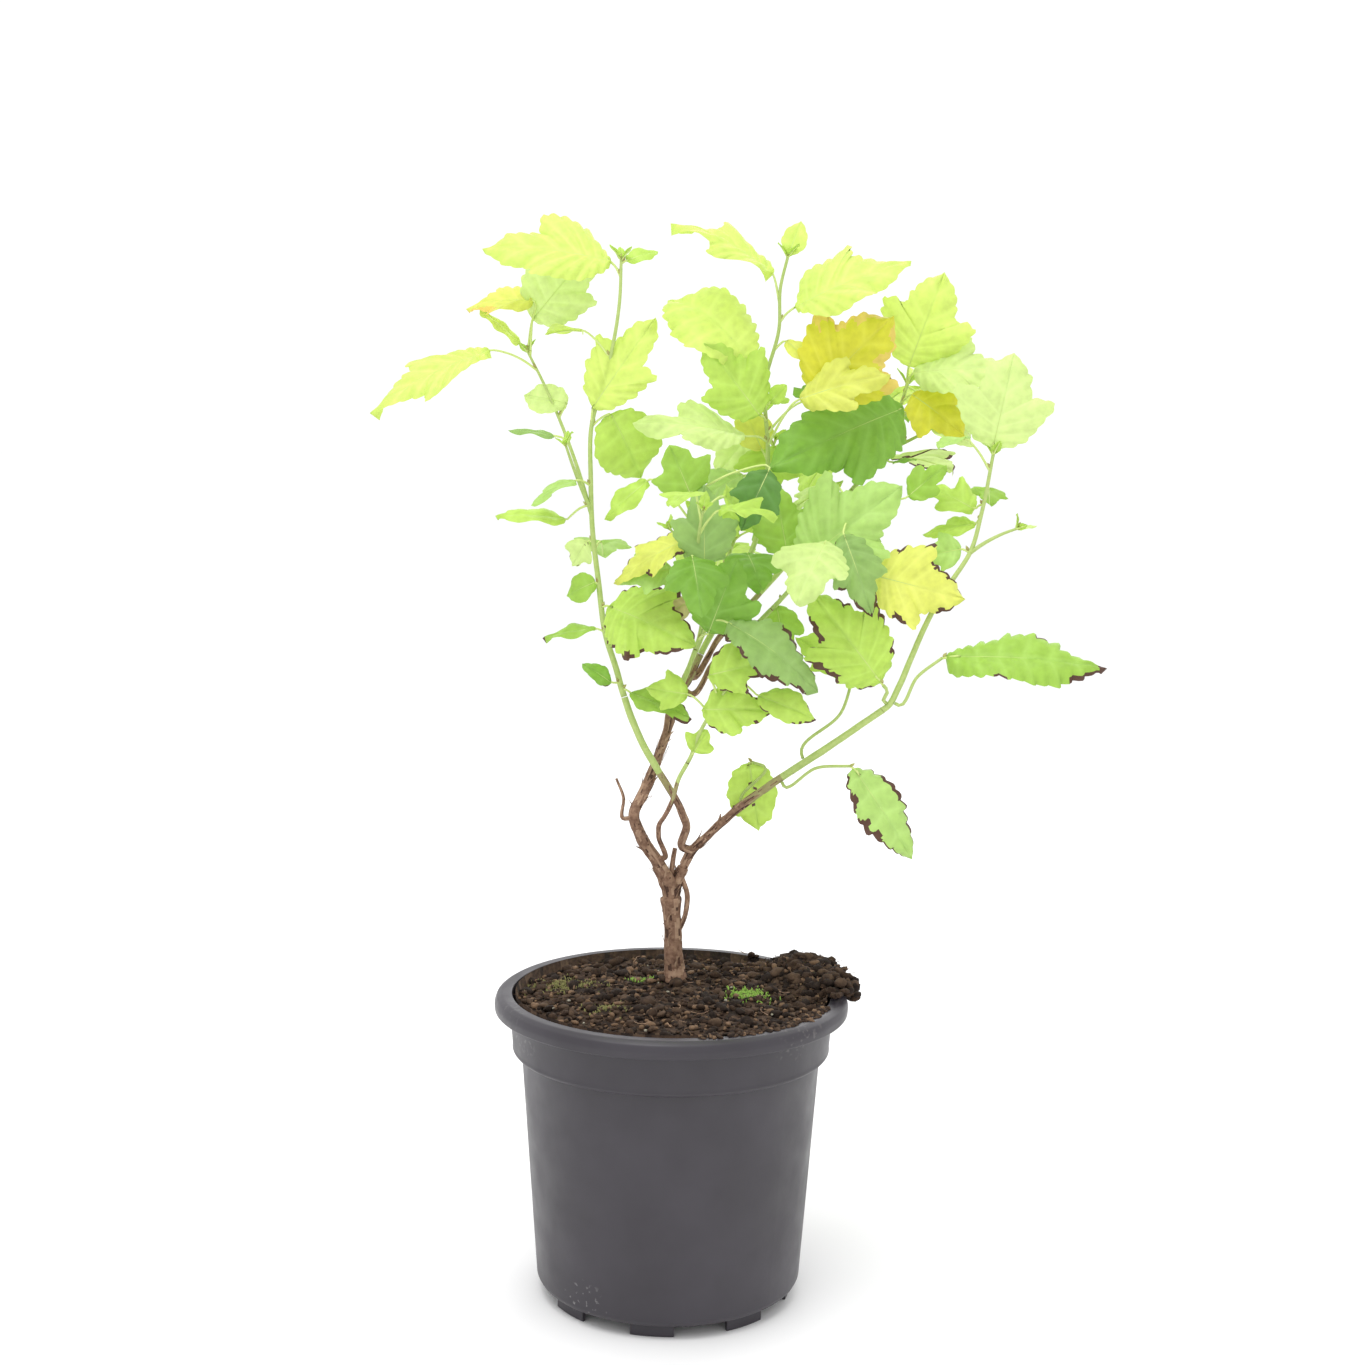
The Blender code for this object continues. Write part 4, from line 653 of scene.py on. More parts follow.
def spill(angle):
    """How much soil lies over the lip at an angle, from 0 to 1."""
    off = math.remainder(angle - SPILL_HEADING, 2 * math.pi)
    return math.cos(min(abs(off) / SPILL_WIDTH, 1.0) * math.pi / 2) ** 2


def start_on(parent, share, first, own_radius):
    """Where a limb starts: past the parent's end, or square to its side and a gap clear of its surface."""
    path, radii, surface = parent
    centre = path.at(share)
    along = path.direction(share)
    if share >= 1.0:
        return [centre + along * GAP, centre + along * (GAP + 0.002)]
    out = Vector(first) - centre
    out = (out - out.dot(along) * along).normalized()
    side = out.orthogonal().normalized()
    other = out.cross(side)
    away = radii[0] + (radii[1] - radii[0]) * share + GAP
    ring = [math.radians(angle) for angle in range(0, 360, 30)]
    while True:
        face = [centre + out * away]
        face += [face[0] + own_radius * (math.cos(t) * side + math.sin(t) * other) for t in ring]
        if min(surface.find_nearest(point)[3] for point in face) >= GAP:
            break
        away += GAP / 10
    return [centre + out * away, centre + out * (away + 0.0015)]


def limb_path(spec, parents):
    parent, share = spec["on"]
    start = start_on(parents[parent], share, spec["way"][0], spec["radii"][0])
    return Path(start + [Vector(p) for p in spec["way"]])


def trunk_and_forks():
    """The solids of the trunk, as plain as in the frame, and the two forks that carry boughs."""
    left = Path(FORK_LEFT_WAY)
    right = Path(FORK_RIGHT_WAY)
    solids = [
        tube(Path(TRUNK_WAY), TRUNK_RADII, 10, 0.008, flare=TRUNK_FLARE, level_start=True),
        tube(left, FORK_LEFT_RADII, LIMB_SIDES, LIMB_STEP),
        tube(right, FORK_RIGHT_RADII, LIMB_SIDES, LIMB_STEP),
        tube(Path(SIDE_STEM_WAY), SIDE_STEM_RADII, 5, 0.006),
        tube(Path(DEAD_STUB_WAY), DEAD_STUB_RADII, 5, 0.008),
    ]
    return solids, {
        "trunk_fork_left": (left, FORK_LEFT_RADII, tree_of(solids[1])),
        "trunk_fork_right": (right, FORK_RIGHT_RADII, tree_of(solids[2])),
    }


class Mass:
    """One leafy shoot: a stem, its twigs and its leaves, all in the mass's own space."""

    def __init__(self, name, spec, parents):
        self.name = name
        self.spec = spec
        path = limb_path(spec, parents)
        self.carriers = {"stem": path}
        self.solids = []
        self.trees = []
        self.leaves = []
        self.add(tube(path, spec["radii"], 5, 0.012))
        for twig in spec["twigs"]:
            self.add_twig(*twig)

    def add(self, solid):
        self.solids.append(solid)
        self.trees.append(tree_of(solid))

    def twig_path(self, place, length, start, end):
        """A twig that starts inside the stem and turns from its first direction to its last."""
        points = [self.carriers["stem"].at(place)]
        pieces = 5
        for i in range(pieces):
            mix = (i + 0.5) / pieces
            heading = start[0] + (end[0] - start[0]) * mix
            rise = start[1] + (end[1] - start[1]) * mix
            points.append(points[-1] + heading_vector(heading, rise) * (length / pieces))
        return Path(points)

    def add_twig(self, name, place, length, start, end):
        path = self.twig_path(place, length, start, end)
        self.carriers[name] = path
        self.add(tube(path, TWIG_RADII, TWIG_SIDES, TWIG_STEP))

    def leaf(self, carrier, place, petiole, leaf, width, face, curl, kind):
        """The solids of one leaf: its petiole, sunk in the stem and in the blade, and its blade."""
        start = self.carriers[carrier].at(place)
        base = start + heading_vector(petiole[1], petiole[2]) * petiole[0] * MM
        direction = heading_vector(leaf[1], leaf[2])
        normal = blade_normal(direction, face)
        length = leaf[0] * MM
        middle = (start + base) / 2 + UP * (0.10 * petiole[0] * MM)
        sunk = base + direction * (LEAF_ROOT * length)
        stalk = Path((start, middle, base, sunk))
        shape = (base, direction, normal, length, length * width, curl, kind)
        return stalk, shape

    def add_leaf(self, name, stalk, shape):
        self.leaves.append((name, stalk, shape))
        self.add(tube(stalk, (PETIOLE_RADIUS, PETIOLE_RADIUS * 0.8), PETIOLE_SIDES, stalk.length / 2))
        self.add(blade(*shape))

    def inside(self, points):
        centre, half = self.spec["space"]
        return all(sum(((p[i] - centre[i]) / half[i]) ** 2 for i in range(3)) <= 1.0 for p in points)


def touches(solid, trees):
    probe = tree_of(solid)
    return any(probe.overlap(tree) for tree in trees)


def leaf_is_clear(mass, stalk, shape, limbs, masses, seeded):
    """True if the leaf keeps clear of the limbs and of the other masses, and a seeded one of its own mass too."""
    grown = blade(*shape, grow=LEAF_CLEARANCE)
    petiole = tube(stalk, (PETIOLE_RADIUS + LEAF_CLEARANCE,) * 2, PETIOLE_SIDES, stalk.length / 2)
    foreign = [tree for other in masses if other is not mass for tree in other.trees]
    if touches(grown, foreign + limbs) or touches(petiole, foreign + limbs):
        return False
    return not seeded or not touches(grown, mass.trees)


def grow_placed(mass, limbs, masses):
    for name, carrier, place, petiole, leaf, width, face, curl, kind in mass.spec["leaves"]:
        stalk, shape = mass.leaf(carrier, place, petiole, leaf, width, face, curl, kind)
        if leaf_is_clear(mass, stalk, shape, limbs, masses, False):
            mass.add_leaf(name, stalk, shape)


def grow_seeded(mass, limbs, masses):
    """Twigs and leaves by rule: a turn of 144 degrees from each to the next, smaller towards the tip."""
    rule = mass.spec["seeded"]
    if rule is None:
        return
    rng = random.Random(rule["seed"])
    carriers = [("stem", rule["leaves"], 0.12)]
    for i in range(rule["twigs"]):
        heading = 360 * rng.random()
        rise = rng.uniform(20, 45)
        length = rng.uniform(*rule["twig"])
        place = 0.15 + 0.70 * (i + 0.5) / rule["twigs"]
        end = (heading + rng.uniform(-20, 20), rise + rng.uniform(5, 20))
        path = mass.twig_path(place, length, (heading, rise), end)
        solid = tube(path, (TWIG_RADII[0] + LEAF_CLEARANCE,) * 2, TWIG_SIDES, TWIG_STEP)
        foreign = [tree for other in masses if other is not mass for tree in other.trees]
        if not touches(solid, foreign + limbs) and mass.inside([path.at(1.0)]):
            mass.add_twig(f"seeded_{i}", place, length, (heading, rise), end)
            carriers.append((f"seeded_{i}", 4, 0.45))
    for carrier, count, first in carriers:
        turn = rng.uniform(0, 360)
        for i in range(count):
            place = first + (1 - first) * (i + 0.5) / count
            turn += TURN_PER_LEAF + rng.uniform(-20, 20)
            rise = rng.uniform(10, 50)
            petiole = (rng.uniform(10, 22), turn, rise)
            size = rule["blade"][0] + (rule["blade"][1] - rule["blade"][0]) * place
            length = size * rng.uniform(0.85, 1.15) / MM
            leaf = (length, turn + rng.uniform(-30, 30), rise - rng.uniform(25, 70))
            face = rng.uniform(-10, 60)
            width = rng.uniform(0.70, 0.95)
            curl = rng.uniform(10, 40)
            kind = "lobed" if length > 20 else "oval"
            stalk, shape = mass.leaf(carrier, place, petiole, leaf, width, face, curl, kind)
            if not mass.inside(blade(*shape)[0]):
                continue
            if leaf_is_clear(mass, stalk, shape, limbs, masses, True):
                mass.add_leaf("", stalk, shape)


# Finishes

def shader_of(mat):
    mat.use_nodes = True
    return mat.node_tree, mat.node_tree.nodes["Principled BSDF"]


def noise_node(tree, scale, detail, source=None):
    node = tree.nodes.new("ShaderNodeTexNoise")
    node.inputs["Scale"].default_value = scale
    node.inputs["Detail"].default_value = detail
    if source is None:
        source = tree.nodes.new("ShaderNodeTexCoord").outputs["Object"]
    tree.links.new(source, node.inputs["Vector"])
    return node.outputs["Fac"]


def ramp(tree, value, low, high, start, end):
    """A value that goes from start to end as the input goes from low to high."""
    node = tree.nodes.new("ShaderNodeMapRange")
    node.inputs["From Min"].default_value = low
    node.inputs["From Max"].default_value = high
    node.inputs["To Min"].default_value = start
    node.inputs["To Max"].default_value = end
    tree.links.new(value, node.inputs["Value"])
    return node.outputs["Result"]


def blend_colour(tree, amount, first, second):
    """A mix of two colours, each a value or a socket."""
    node = tree.nodes.new("ShaderNodeMix")
    node.data_type = "RGBA"
    tree.links.new(amount, node.inputs["Factor"])
    for socket, colour in ((node.inputs["A"], first), (node.inputs["B"], second)):
        if isinstance(colour, tuple):
            socket.default_value = (*colour, 1.0)
        else:
            tree.links.new(colour, socket)
    return node.outputs["Result"]


def bump(tree, shader, height, strength, distance):
    node = tree.nodes.new("ShaderNodeBump")
    node.inputs["Strength"].default_value = strength
    node.inputs["Distance"].default_value = distance
    tree.links.new(height, node.inputs["Height"])
    tree.links.new(node.outputs["Normal"], shader.inputs["Normal"])


def scaled(colour, factor):
    return tuple(min(c * factor, 1.0) for c in colour)


def leaf_finish(name, colour):
    """Leaf tissue: a little mottled, paler veins, satin, and part of the light from behind comes through."""
    mat = bpy.data.materials.new(name)
    tree, shader = shader_of(mat)
    mat.diffuse_color = (*colour, 1.0)
    mottle = noise_node(tree, 260.0, 4.0)
    base = blend_colour(tree, ramp(tree, mottle, 0.30, 0.70, 0.0, 1.0), scaled(colour, 0.90),
                        scaled(colour, 1.06))
    vein = tree.nodes.new("ShaderNodeAttribute")
    vein.attribute_name = "vein"
    pale = tuple(min(c * 1.12 + 0.05, 1.0) for c in colour)
    tint = blend_colour(tree, ramp(tree, vein.outputs["Fac"], 0.0, 1.0, 0.0, 0.55), base, pale)
    tree.links.new(tint, shader.inputs["Base Color"])
    shader.inputs["Roughness"].default_value = LEAF_ROUGHNESS
    shader.inputs["Specular IOR Level"].default_value = 0.32
    bump(tree, shader, noise_node(tree, 900.0, 3.0), 0.35, 0.0004)
    through = tree.nodes.new("ShaderNodeBsdfTranslucent")
    tree.links.new(tint, through.inputs["Color"])
    both = tree.nodes.new("ShaderNodeMixShader")
    both.inputs["Fac"].default_value = LIGHT_THROUGH
    tree.links.new(shader.outputs["BSDF"], both.inputs[1])
    tree.links.new(through.outputs["BSDF"], both.inputs[2])
    tree.links.new(both.outputs["Shader"], tree.nodes["Material Output"].inputs["Surface"])
    return mat


def rough_finish(name, colour, other, roughness, scale, relief):
    """A matt surface of two shades with fine relief: bark, soil, moss."""
    mat = bpy.data.materials.new(name)
    tree, shader = shader_of(mat)
    mat.diffuse_color = (*colour, 1.0)
    shade = noise_node(tree, scale, 5.0)
    mixed = blend_colour(tree, ramp(tree, shade, 0.32, 0.68, 0.0, 1.0), colour, other)
    tree.links.new(mixed, shader.inputs["Base Color"])
    shader.inputs["Roughness"].default_value = roughness
    shader.inputs["Specular IOR Level"].default_value = 0.25
    bump(tree, shader, noise_node(tree, scale * 2.5, 4.0), 0.6, relief)
    return mat


def pot_finish():
    """Black moulded plastic: satin, with handling marks, pale scuffs low on the left and dust on the right lip."""
    mat = bpy.data.materials.new("pot_plastic")
    tree, shader = shader_of(mat)
    mat.diffuse_color = (*POT_BLACK, 1.0)
    where = tree.nodes.new("ShaderNodeTexCoord").outputs["Object"]
    broad = noise_node(tree, 22.0, 4.0, where)
    fine = noise_node(tree, 420.0, 6.0, where)
    plain = blend_colour(tree, ramp(tree, broad, 0.3, 0.7, 0.0, 1.0), *POT_SHADES)
    for centre, radius, colour, cut in POT_MARKS:
        away = tree.nodes.new("ShaderNodeVectorMath")
        away.operation = "DISTANCE"
        tree.links.new(where, away.inputs[0])
        away.inputs[1].default_value = centre
        near = ramp(tree, away.outputs["Value"], radius * 0.4, radius, 1.0, 0.0)
        speck = ramp(tree, fine, cut, cut + 0.10, 0.0, 1.0)
        both = tree.nodes.new("ShaderNodeMath")
        both.operation = "MULTIPLY"
        tree.links.new(near, both.inputs[0])
        tree.links.new(speck, both.inputs[1])
        plain = blend_colour(tree, both.outputs["Value"], plain, colour)
    tree.links.new(plain, shader.inputs["Base Color"])
    tree.links.new(ramp(tree, noise_node(tree, 60.0, 6.0, where), 0.3, 0.7, 0.36, 0.50),
                   shader.inputs["Roughness"])
    shader.inputs["Specular IOR Level"].default_value = 0.5
    bump(tree, shader, noise_node(tree, 700.0, 3.0, where), 0.10, 0.0002)
    return mat


FINISHES = {}


def make_finishes():
    for name, colour in LEAF_COLOURS.items():
        FINISHES[name] = leaf_finish("leaf_" + name, colour)
    rough = {
        "bark": ((0.17, 0.092, 0.060), (0.33, 0.205, 0.135), 0.80, 500.0, 0.0006),
        # A darker bark tone, used for some peel strips and as painted shade in the bark's grooves
        "bark_dark": ((0.060, 0.032, 0.022), (0.12, 0.065, 0.045), 0.85, 500.0, 0.0006),
        "bark_tan": ((0.46, 0.31, 0.21), (0.34, 0.21, 0.14), 0.75, 500.0, 0.0005),
        "shoot_brown": ((0.30, 0.26, 0.12), (0.36, 0.34, 0.15), 0.60, 420.0, 0.0003),
        "shoot": ((0.40, 0.52, 0.16), (0.47, 0.58, 0.20), 0.52, 420.0, 0.0002),
        "petiole": ((0.58, 0.70, 0.22), (0.64, 0.76, 0.28), 0.50, 420.0, 0.0001),
        "bud": ((0.30, 0.22, 0.08), (0.45, 0.48, 0.16), 0.60, 600.0, 0.0002),
        "soil": ((0.030, 0.017, 0.011), (0.070, 0.042, 0.026), 0.92, 420.0, 0.0008),
        "soil_dark": ((0.014, 0.009, 0.007), (0.032, 0.020, 0.014), 0.92, 420.0, 0.0008),
        "soil_light": ((0.105, 0.066, 0.042), (0.065, 0.040, 0.026), 0.92, 420.0, 0.0006),
        "chip": ((0.22, 0.135, 0.080), (0.14, 0.085, 0.050), 0.85, 500.0, 0.0004),
        "speck": ((0.42, 0.40, 0.32), (0.30, 0.27, 0.21), 0.80, 700.0, 0.0002),
        "moss_bright": ((0.20, 0.36, 0.06), (0.32, 0.50, 0.10), 0.85, 700.0, 0.0004),
        "moss_olive": ((0.17, 0.17, 0.06), (0.27, 0.25, 0.10), 0.88, 700.0, 0.0004),
    }
    for name, numbers in rough.items():
        FINISHES[name] = rough_finish(name, *numbers)
    FINISHES["pot"] = pot_finish()


# Joined meshes

class Piece:
    """Faces gathered for one joined mesh, each with a named finish, and how much of a vein each point is."""

    def __init__(self):
        self.verts = []
        self.faces = []
        self.finishes = []
        self.veins = []

    def add(self, solid, finish, veins=None):
        verts, faces = solid
        first = len(self.verts)
        self.verts += verts
        self.faces += [tuple(first + i for i in face) for face in faces]
        self.finishes += [finish] * len(faces) if isinstance(finish, str) else finish
        self.veins += veins if veins else [0.0] * len(verts)

    def make(self, name, slot, *nodes):
        mesh = bpy.data.meshes.new(name)
        mesh.from_pydata([tuple(v) for v in self.verts], [], self.faces)
        used = sorted(set(self.finishes))
        for finish in used:
            mesh.materials.append(FINISHES[finish])
        mesh.polygons.foreach_set("material_index", [used.index(finish) for finish in self.finishes])
        if any(self.veins):
            mesh.attributes.new("vein", "FLOAT", "POINT").data.foreach_set("value", self.veins)
        mesh.shade_smooth()
        obj = bpy.data.objects.new(name, mesh)
        bpy.context.scene.collection.objects.link(obj)
        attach(obj, "root")
        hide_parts(*nodes)
        return obj


def egg(centre, axis, length, radius, sides=6, rings=4):
    """A pointed little body, such as a bud."""
    axis = axis.normalized()
    side = axis.orthogonal().normalized()
    other = axis.cross(side)
    verts = [centre - axis * length / 2]
    for i in range(1, rings):
        t = i / rings
        ring = radius * math.sin(math.pi * t ** 0.8)
        for k in range(sides):
            angle = 2 * math.pi * k / sides
            verts.append(centre + axis * length * (t - 0.5) + ring
                         * (math.cos(angle) * side + math.sin(angle) * other))
    verts.append(centre + axis * length / 2)
    rows = [list(range(1 + i * sides, 1 + (i + 1) * sides)) for i in range(rings - 1)]
    return verts, faces_between([[0]] + rows + [[len(verts) - 1]], sides)


# Leaves

def margin(kind, length, half_width, rng):
    """The toothed edge of half a blade, as points in the plane, and the midrib place of each."""
    table = LOBED_MARGIN if kind == "lobed" else OVAL_MARGIN
    knots = [Vector((x * length, y * half_width, u)) for x, y, u in table]
    along = [0.0]
    for a, b in zip(knots, knots[1:]):
        along.append(along[-1] + (b - a).xy.length)
    teeth = max(4, min(14, round(along[-1] / TOOTH_PITCH)))
    count = teeth * len(TOOTH_PROFILE)
    plain = []
    for i in range(count + 1):
        target = along[-1] * i / count
        k = next((k for k in range(1, len(along)) if along[k] >= target), len(along) - 1)
        plain.append(knots[k - 1].lerp(knots[k], (target - along[k - 1]) / (along[k] - along[k - 1])))
    points = []
    for i, point in enumerate(plain):
        run = (plain[min(i + 1, count)] - plain[max(i - 1, 0)]).xy.normalized()
        out = Vector((-run.y, run.x))
        tooth = i // len(TOOTH_PROFILE)
        uneven = 0.75 + 0.5 * noise.noise(Vector((tooth * 3.1, length * 900, half_width * 700)))
        depth = TOOTH_DEPTH * length * (1.0 if tooth % 2 else 0.62) * uneven
        depth *= min(1.0, 6 * i / count, 5 * (count - i) / count)
        height = depth * TOOTH_PROFILE[i % len(TOOTH_PROFILE)]
        points.append(point.xy + out * height + run * (height * 0.55))
    return points, [point.z for point in plain]


def marked(mark, along, share, place, rng):
    """Whether one face of a blade takes the finish of the leaf's mark."""
    if mark == "rim":
        return share > 0.95 and place > 0.0 or share > 0.85 and place > 0.26
    if mark == "heavy":
        return share > 0.95 and place > -0.55 or share > 0.85 and place > -0.05 or share > 0.7 and place > 0.28
    if mark == "tip":
        return along > 0.93 or along > 0.74 and share > 0.85 and place > -0.3 or share > 0.95 and place > 0.2
    if mark == "spots":
        return rng.random() < 0.035
    if mark == "orange":
        return along > 0.45 and (share > 0.95 or share > 0.85 and place > -0.1 or share > 0.7 and place > 0.2)
    return False


def fine_leaf(leaves, twigs, look, stalk, shape, rng):
    """One leaf with its toothed edge, fold, curl, veins and waves, its petiole and its raised midrib below."""
    base, direction, normal, length, width, curl, kind = shape
    tint, mark = look
    across = direction.cross(normal)
    bend = math.radians(max(curl, 1.0))
    fold = math.tan(math.radians(LEAF_FOLD))
    seed = rng.uniform(0, 50)
    wave_count = rng.uniform(1.4, 2.6)
    wave_size = WAVE * length * rng.uniform(0.5, 1.3)

    def place(x, y, lift):
        turn = bend * x / length
        centre = base + direction * (length * math.sin(turn) / bend) - normal * (length
                                                                                 * (1 - math.cos(turn)) / bend)
        rise = normal * math.cos(turn) + direction * math.sin(turn)
        return centre + across * y + rise * (abs(y) * fold + lift)

    def lift(i, count, share, side):
        between_veins = 1 - math.cos(2 * math.pi * (i - VEIN_AT) / VEIN_EVERY)
        quilt = QUILT * length * between_veins * math.sin(math.pi * min(share + 0.12, 1.0))
        wave = wave_size * math.sin(2 * math.pi * (wave_count * i / count + seed) + side) * share ** 2
        return quilt + wave - EDGE_DROP * length * share ** 3

    halves = {}
    for side in (-1, 1):
        half_width = width / 2 * rng.uniform(0.92, 1.06)
        halves[side] = margin(kind, length, half_width, rng)
    ribs = halves[1][1]
    count = min(len(ribs), len(halves[-1][1])) - 1
    cells = len(ACROSS)
    verts = [place(0, 0, 0)]
    veins = [1.0]
    for i in range(1, count):
        near = min((i - VEIN_AT) % VEIN_EVERY, (VEIN_AT - i) % VEIN_EVERY)
        line = (1.0, 0.30)[near] if near < 2 else 0.0
        middle = Vector((ribs[i] * length, 0.0))
        for side in (-1, 1):
            edge = halves[side][0][i]
            shares = ACROSS[::-1] if side < 0 else ACROSS
            for share in shares:
                flat = middle.lerp(edge, share)
                verts.append(place(flat.x, side * flat.y, lift(i, count, share, side)))
                veins.append(line * (1 - 0.6 * share))
            if side < 0:
                verts.append(place(middle.x, 0.0, -0.0002))
                veins.append(1.0)
    verts.append(place(length, 0, 0))
    veins.append(1.0)
    row = 2 * cells + 1
    faces = []
    finishes = []
    accent = "orange" if mark == "orange" else "scorch"
    for i in range(count):
        for k in range(2 * cells):
            a, b = 1 + (i - 1) * row + k, 1 + i * row + k
            if i == 0:
                face = (0, b + 1, b)
            elif i == count - 1:
                face = (a, a + 1, len(verts) - 1)
            else:
                face = (a, a + 1, b + 1, b)
            faces.append(face)
            side = -1 if k < cells else 1
            share = ACROSS[cells - 1 - k] if k < cells else ACROSS[k - cells]
            spot = noise.noise(Vector((i * 0.21, seed, side * 3.0)))
            along = halves[side][0][i].x / length * share + ribs[i] * (1 - share)
            finishes.append(accent if mark and marked(mark, along, share, spot, rng) else tint)
    leaves.add((verts, faces), finishes, veins)
    reach = Path([stalk.at(0.0), stalk.at(0.2), stalk.at(0.42), base, base + direction * length * 0.04])
    twigs.add(tube(reach, PETIOLE_FINE, 6, 0.0022), "petiole")
    rib = Path([place(x * length, 0, -0.0004) for x in (0.0, 0.25, 0.5, 0.75, 0.92)])
    twigs.add(tube(rib, (0.00045, 0.00012), 5, length / 9), "petiole")


def tiny_leaves(leaves, twigs, path, tint, rng):
    """The opening bud at a shoot's end: a few folded young leaves round the tip."""
    end = path.at(1.0)
    ahead = path.direction(1.0)
    turn = rng.uniform(0, 360)
    for i in range(3):
        aside = heading_vector(turn + i * 125, 15)
        direction = (ahead * 1.1 + aside).normalized()
        length = rng.uniform(0.006, 0.010)
        stalk = Path((end - ahead * 0.002, end - ahead * 0.001, end, end + direction * 0.002))
        normal = (ahead - ahead.dot(direction) * direction).normalized()
        fine_leaf(leaves, twigs, (tint, ""), stalk,
                  (end, direction, normal, length, length * 0.5, 15, "oval"), rng)
    twigs.add(egg(end + ahead * 0.001, ahead, BUD_LENGTH, 0.0009), "bud")


# Tint by height: partly the leaves' own colour, partly painted light above and painted shade below
def tint_for(height, rng):
    tints = HIGH_TINTS if height > HIGH_ABOVE else LOW_TINTS if height < LOW_BELOW else MIDDLE_TINTS
    return tints[rng.randrange(len(tints))], "rim" if rng.random() < 0.10 and height < HIGH_ABOVE else ""


def finish_mass(mass):
    """The twigs of one mass as one piece and its leaves as another."""
    rng = random.Random(len(mass.name) * 101 + len(mass.leaves))
    leaves = Piece()
    twigs = Piece()
    for carrier, path in mass.carriers.items():
        radii = mass.spec["radii"] if carrier == "stem" else TWIG_RADII
        twigs.add(tube(path, radii, 10, 0.0022), "shoot")
        if mass.spec["space"]:
            tiny_leaves(leaves, twigs, path, "lime", rng)
    for name, stalk, shape in mass.leaves:
        look = LOOKS[name] if name else tint_for(shape[0].z, rng)
        fine_leaf(leaves, twigs, look, stalk, shape, rng)
        foot = stalk.at(0.0)
        outward = (stalk.at(0.15) - foot).normalized()
        twigs.add(egg(foot + (outward + UP * 0.8) * 0.0016, outward + UP, BUD_LENGTH, 0.0008), "bud")
    leaves.make(mass.name + "_leaves", "leaves", mass.name)
    twigs.make(mass.name + "_twigs", "shoot", mass.name)


# Trunk and boughs with bark

def bark_tube(piece, path, radii, green_from, seed, flare=0.0, relief=BARK_RELIEF, knots=()):
    """A limb with long ridges in its bark. From green_from on, the brown bark gives way to the green shoot."""
    count = max(4, round(path.length / BARK_STEP))
    verts = []
    finishes = []
    side = None
    for i in range(count + 1):
        share = i / count
        normal = path.direction(share)
        side = side or normal.orthogonal()
        side = (side - side.dot(normal) * normal).normalized()
        other = normal.cross(side)
        along = share * path.length
        radius = radii[0] + (radii[1] - radii[0]) * share + flare * math.exp(-along / FLARE_FALL)
        for place, size, reach in knots:
            radius += size * math.exp(-((along - place * path.length) / reach) ** 2)
        rough = relief * (1.0 if share < green_from else 0.35)
        for k in range(BARK_SIDES):
            angle = 2 * math.pi * k / BARK_SIDES
            spot = Vector((math.cos(angle) * 2.1, math.sin(angle) * 2.1, along / 0.010 + seed))
            ridge = noise.noise(spot) + 0.45 * noise.noise(spot * 2.3)
            verts.append(path.at(share) + (radius + rough * ridge)
                         * (math.cos(angle) * side + math.sin(angle) * other))
            if i < count:
                # Pale tan patches scattered by noise: partly the bark's own paler peeling layers, partly painted
                # highlight
                patch = noise.noise(Vector((math.cos(angle) * 1.3, math.sin(angle) * 1.3,
                                            along / 0.006 + seed * 1.7)))
                green = share + 0.22 * patch > green_from
                # The darker finish goes where the ridge noise sinks the surface: painted shade in the bark's
                # grooves
                brown = "bark_tan" if patch > 0.24 else "bark_dark" if ridge < -0.34 else "bark"
                finishes.append(("shoot" if share > green_from + 0.10 else "shoot_brown") if green else brown)
    faces = []
    for i in range(count):
        for k in range(BARK_SIDES):
            a = i * BARK_SIDES + k
            b = i * BARK_SIDES + (k + 1) % BARK_SIDES
            faces.append((a, b, b + BARK_SIDES, a + BARK_SIDES))
    for ring, turned in ((0, True), (count, False)):
        loop = range(ring * BARK_SIDES, (ring + 1) * BARK_SIDES)
        faces.append(tuple(reversed(loop)) if turned else tuple(loop))
        finishes.append(finishes[0] if turned else finishes[-1])
    piece.add((verts, faces), finishes)


def peel(piece, path, place, radius, angle, length, width, lift, finish):
    """A strip of old bark that has come away at one end."""
    normal = path.direction(place)
    side = normal.orthogonal().normalized()
    other = normal.cross(side)
    verts = []
    steps = 6
    for i in range(steps + 1):
        t = i / steps
        out = radius + 0.0001 + lift * t ** 2.2
        centre = path.at(place) + normal * (length * t)
        half = width / 2 * (1 - 0.75 * t ** 1.5) / radius
        for across in (-1, 0, 1):
            a = angle + across * half + 0.5 * t * t
            bulge = out * (1.0 - 0.04 * abs(across))
            verts.append(centre + bulge * (math.cos(a) * side + math.sin(a) * other))
    faces = []
    for i in range(steps):
        for k in range(2):
            a = i * 3 + k
            faces.append((a, a + 1, a + 4, a + 3))
    piece.add((verts, faces), finish)


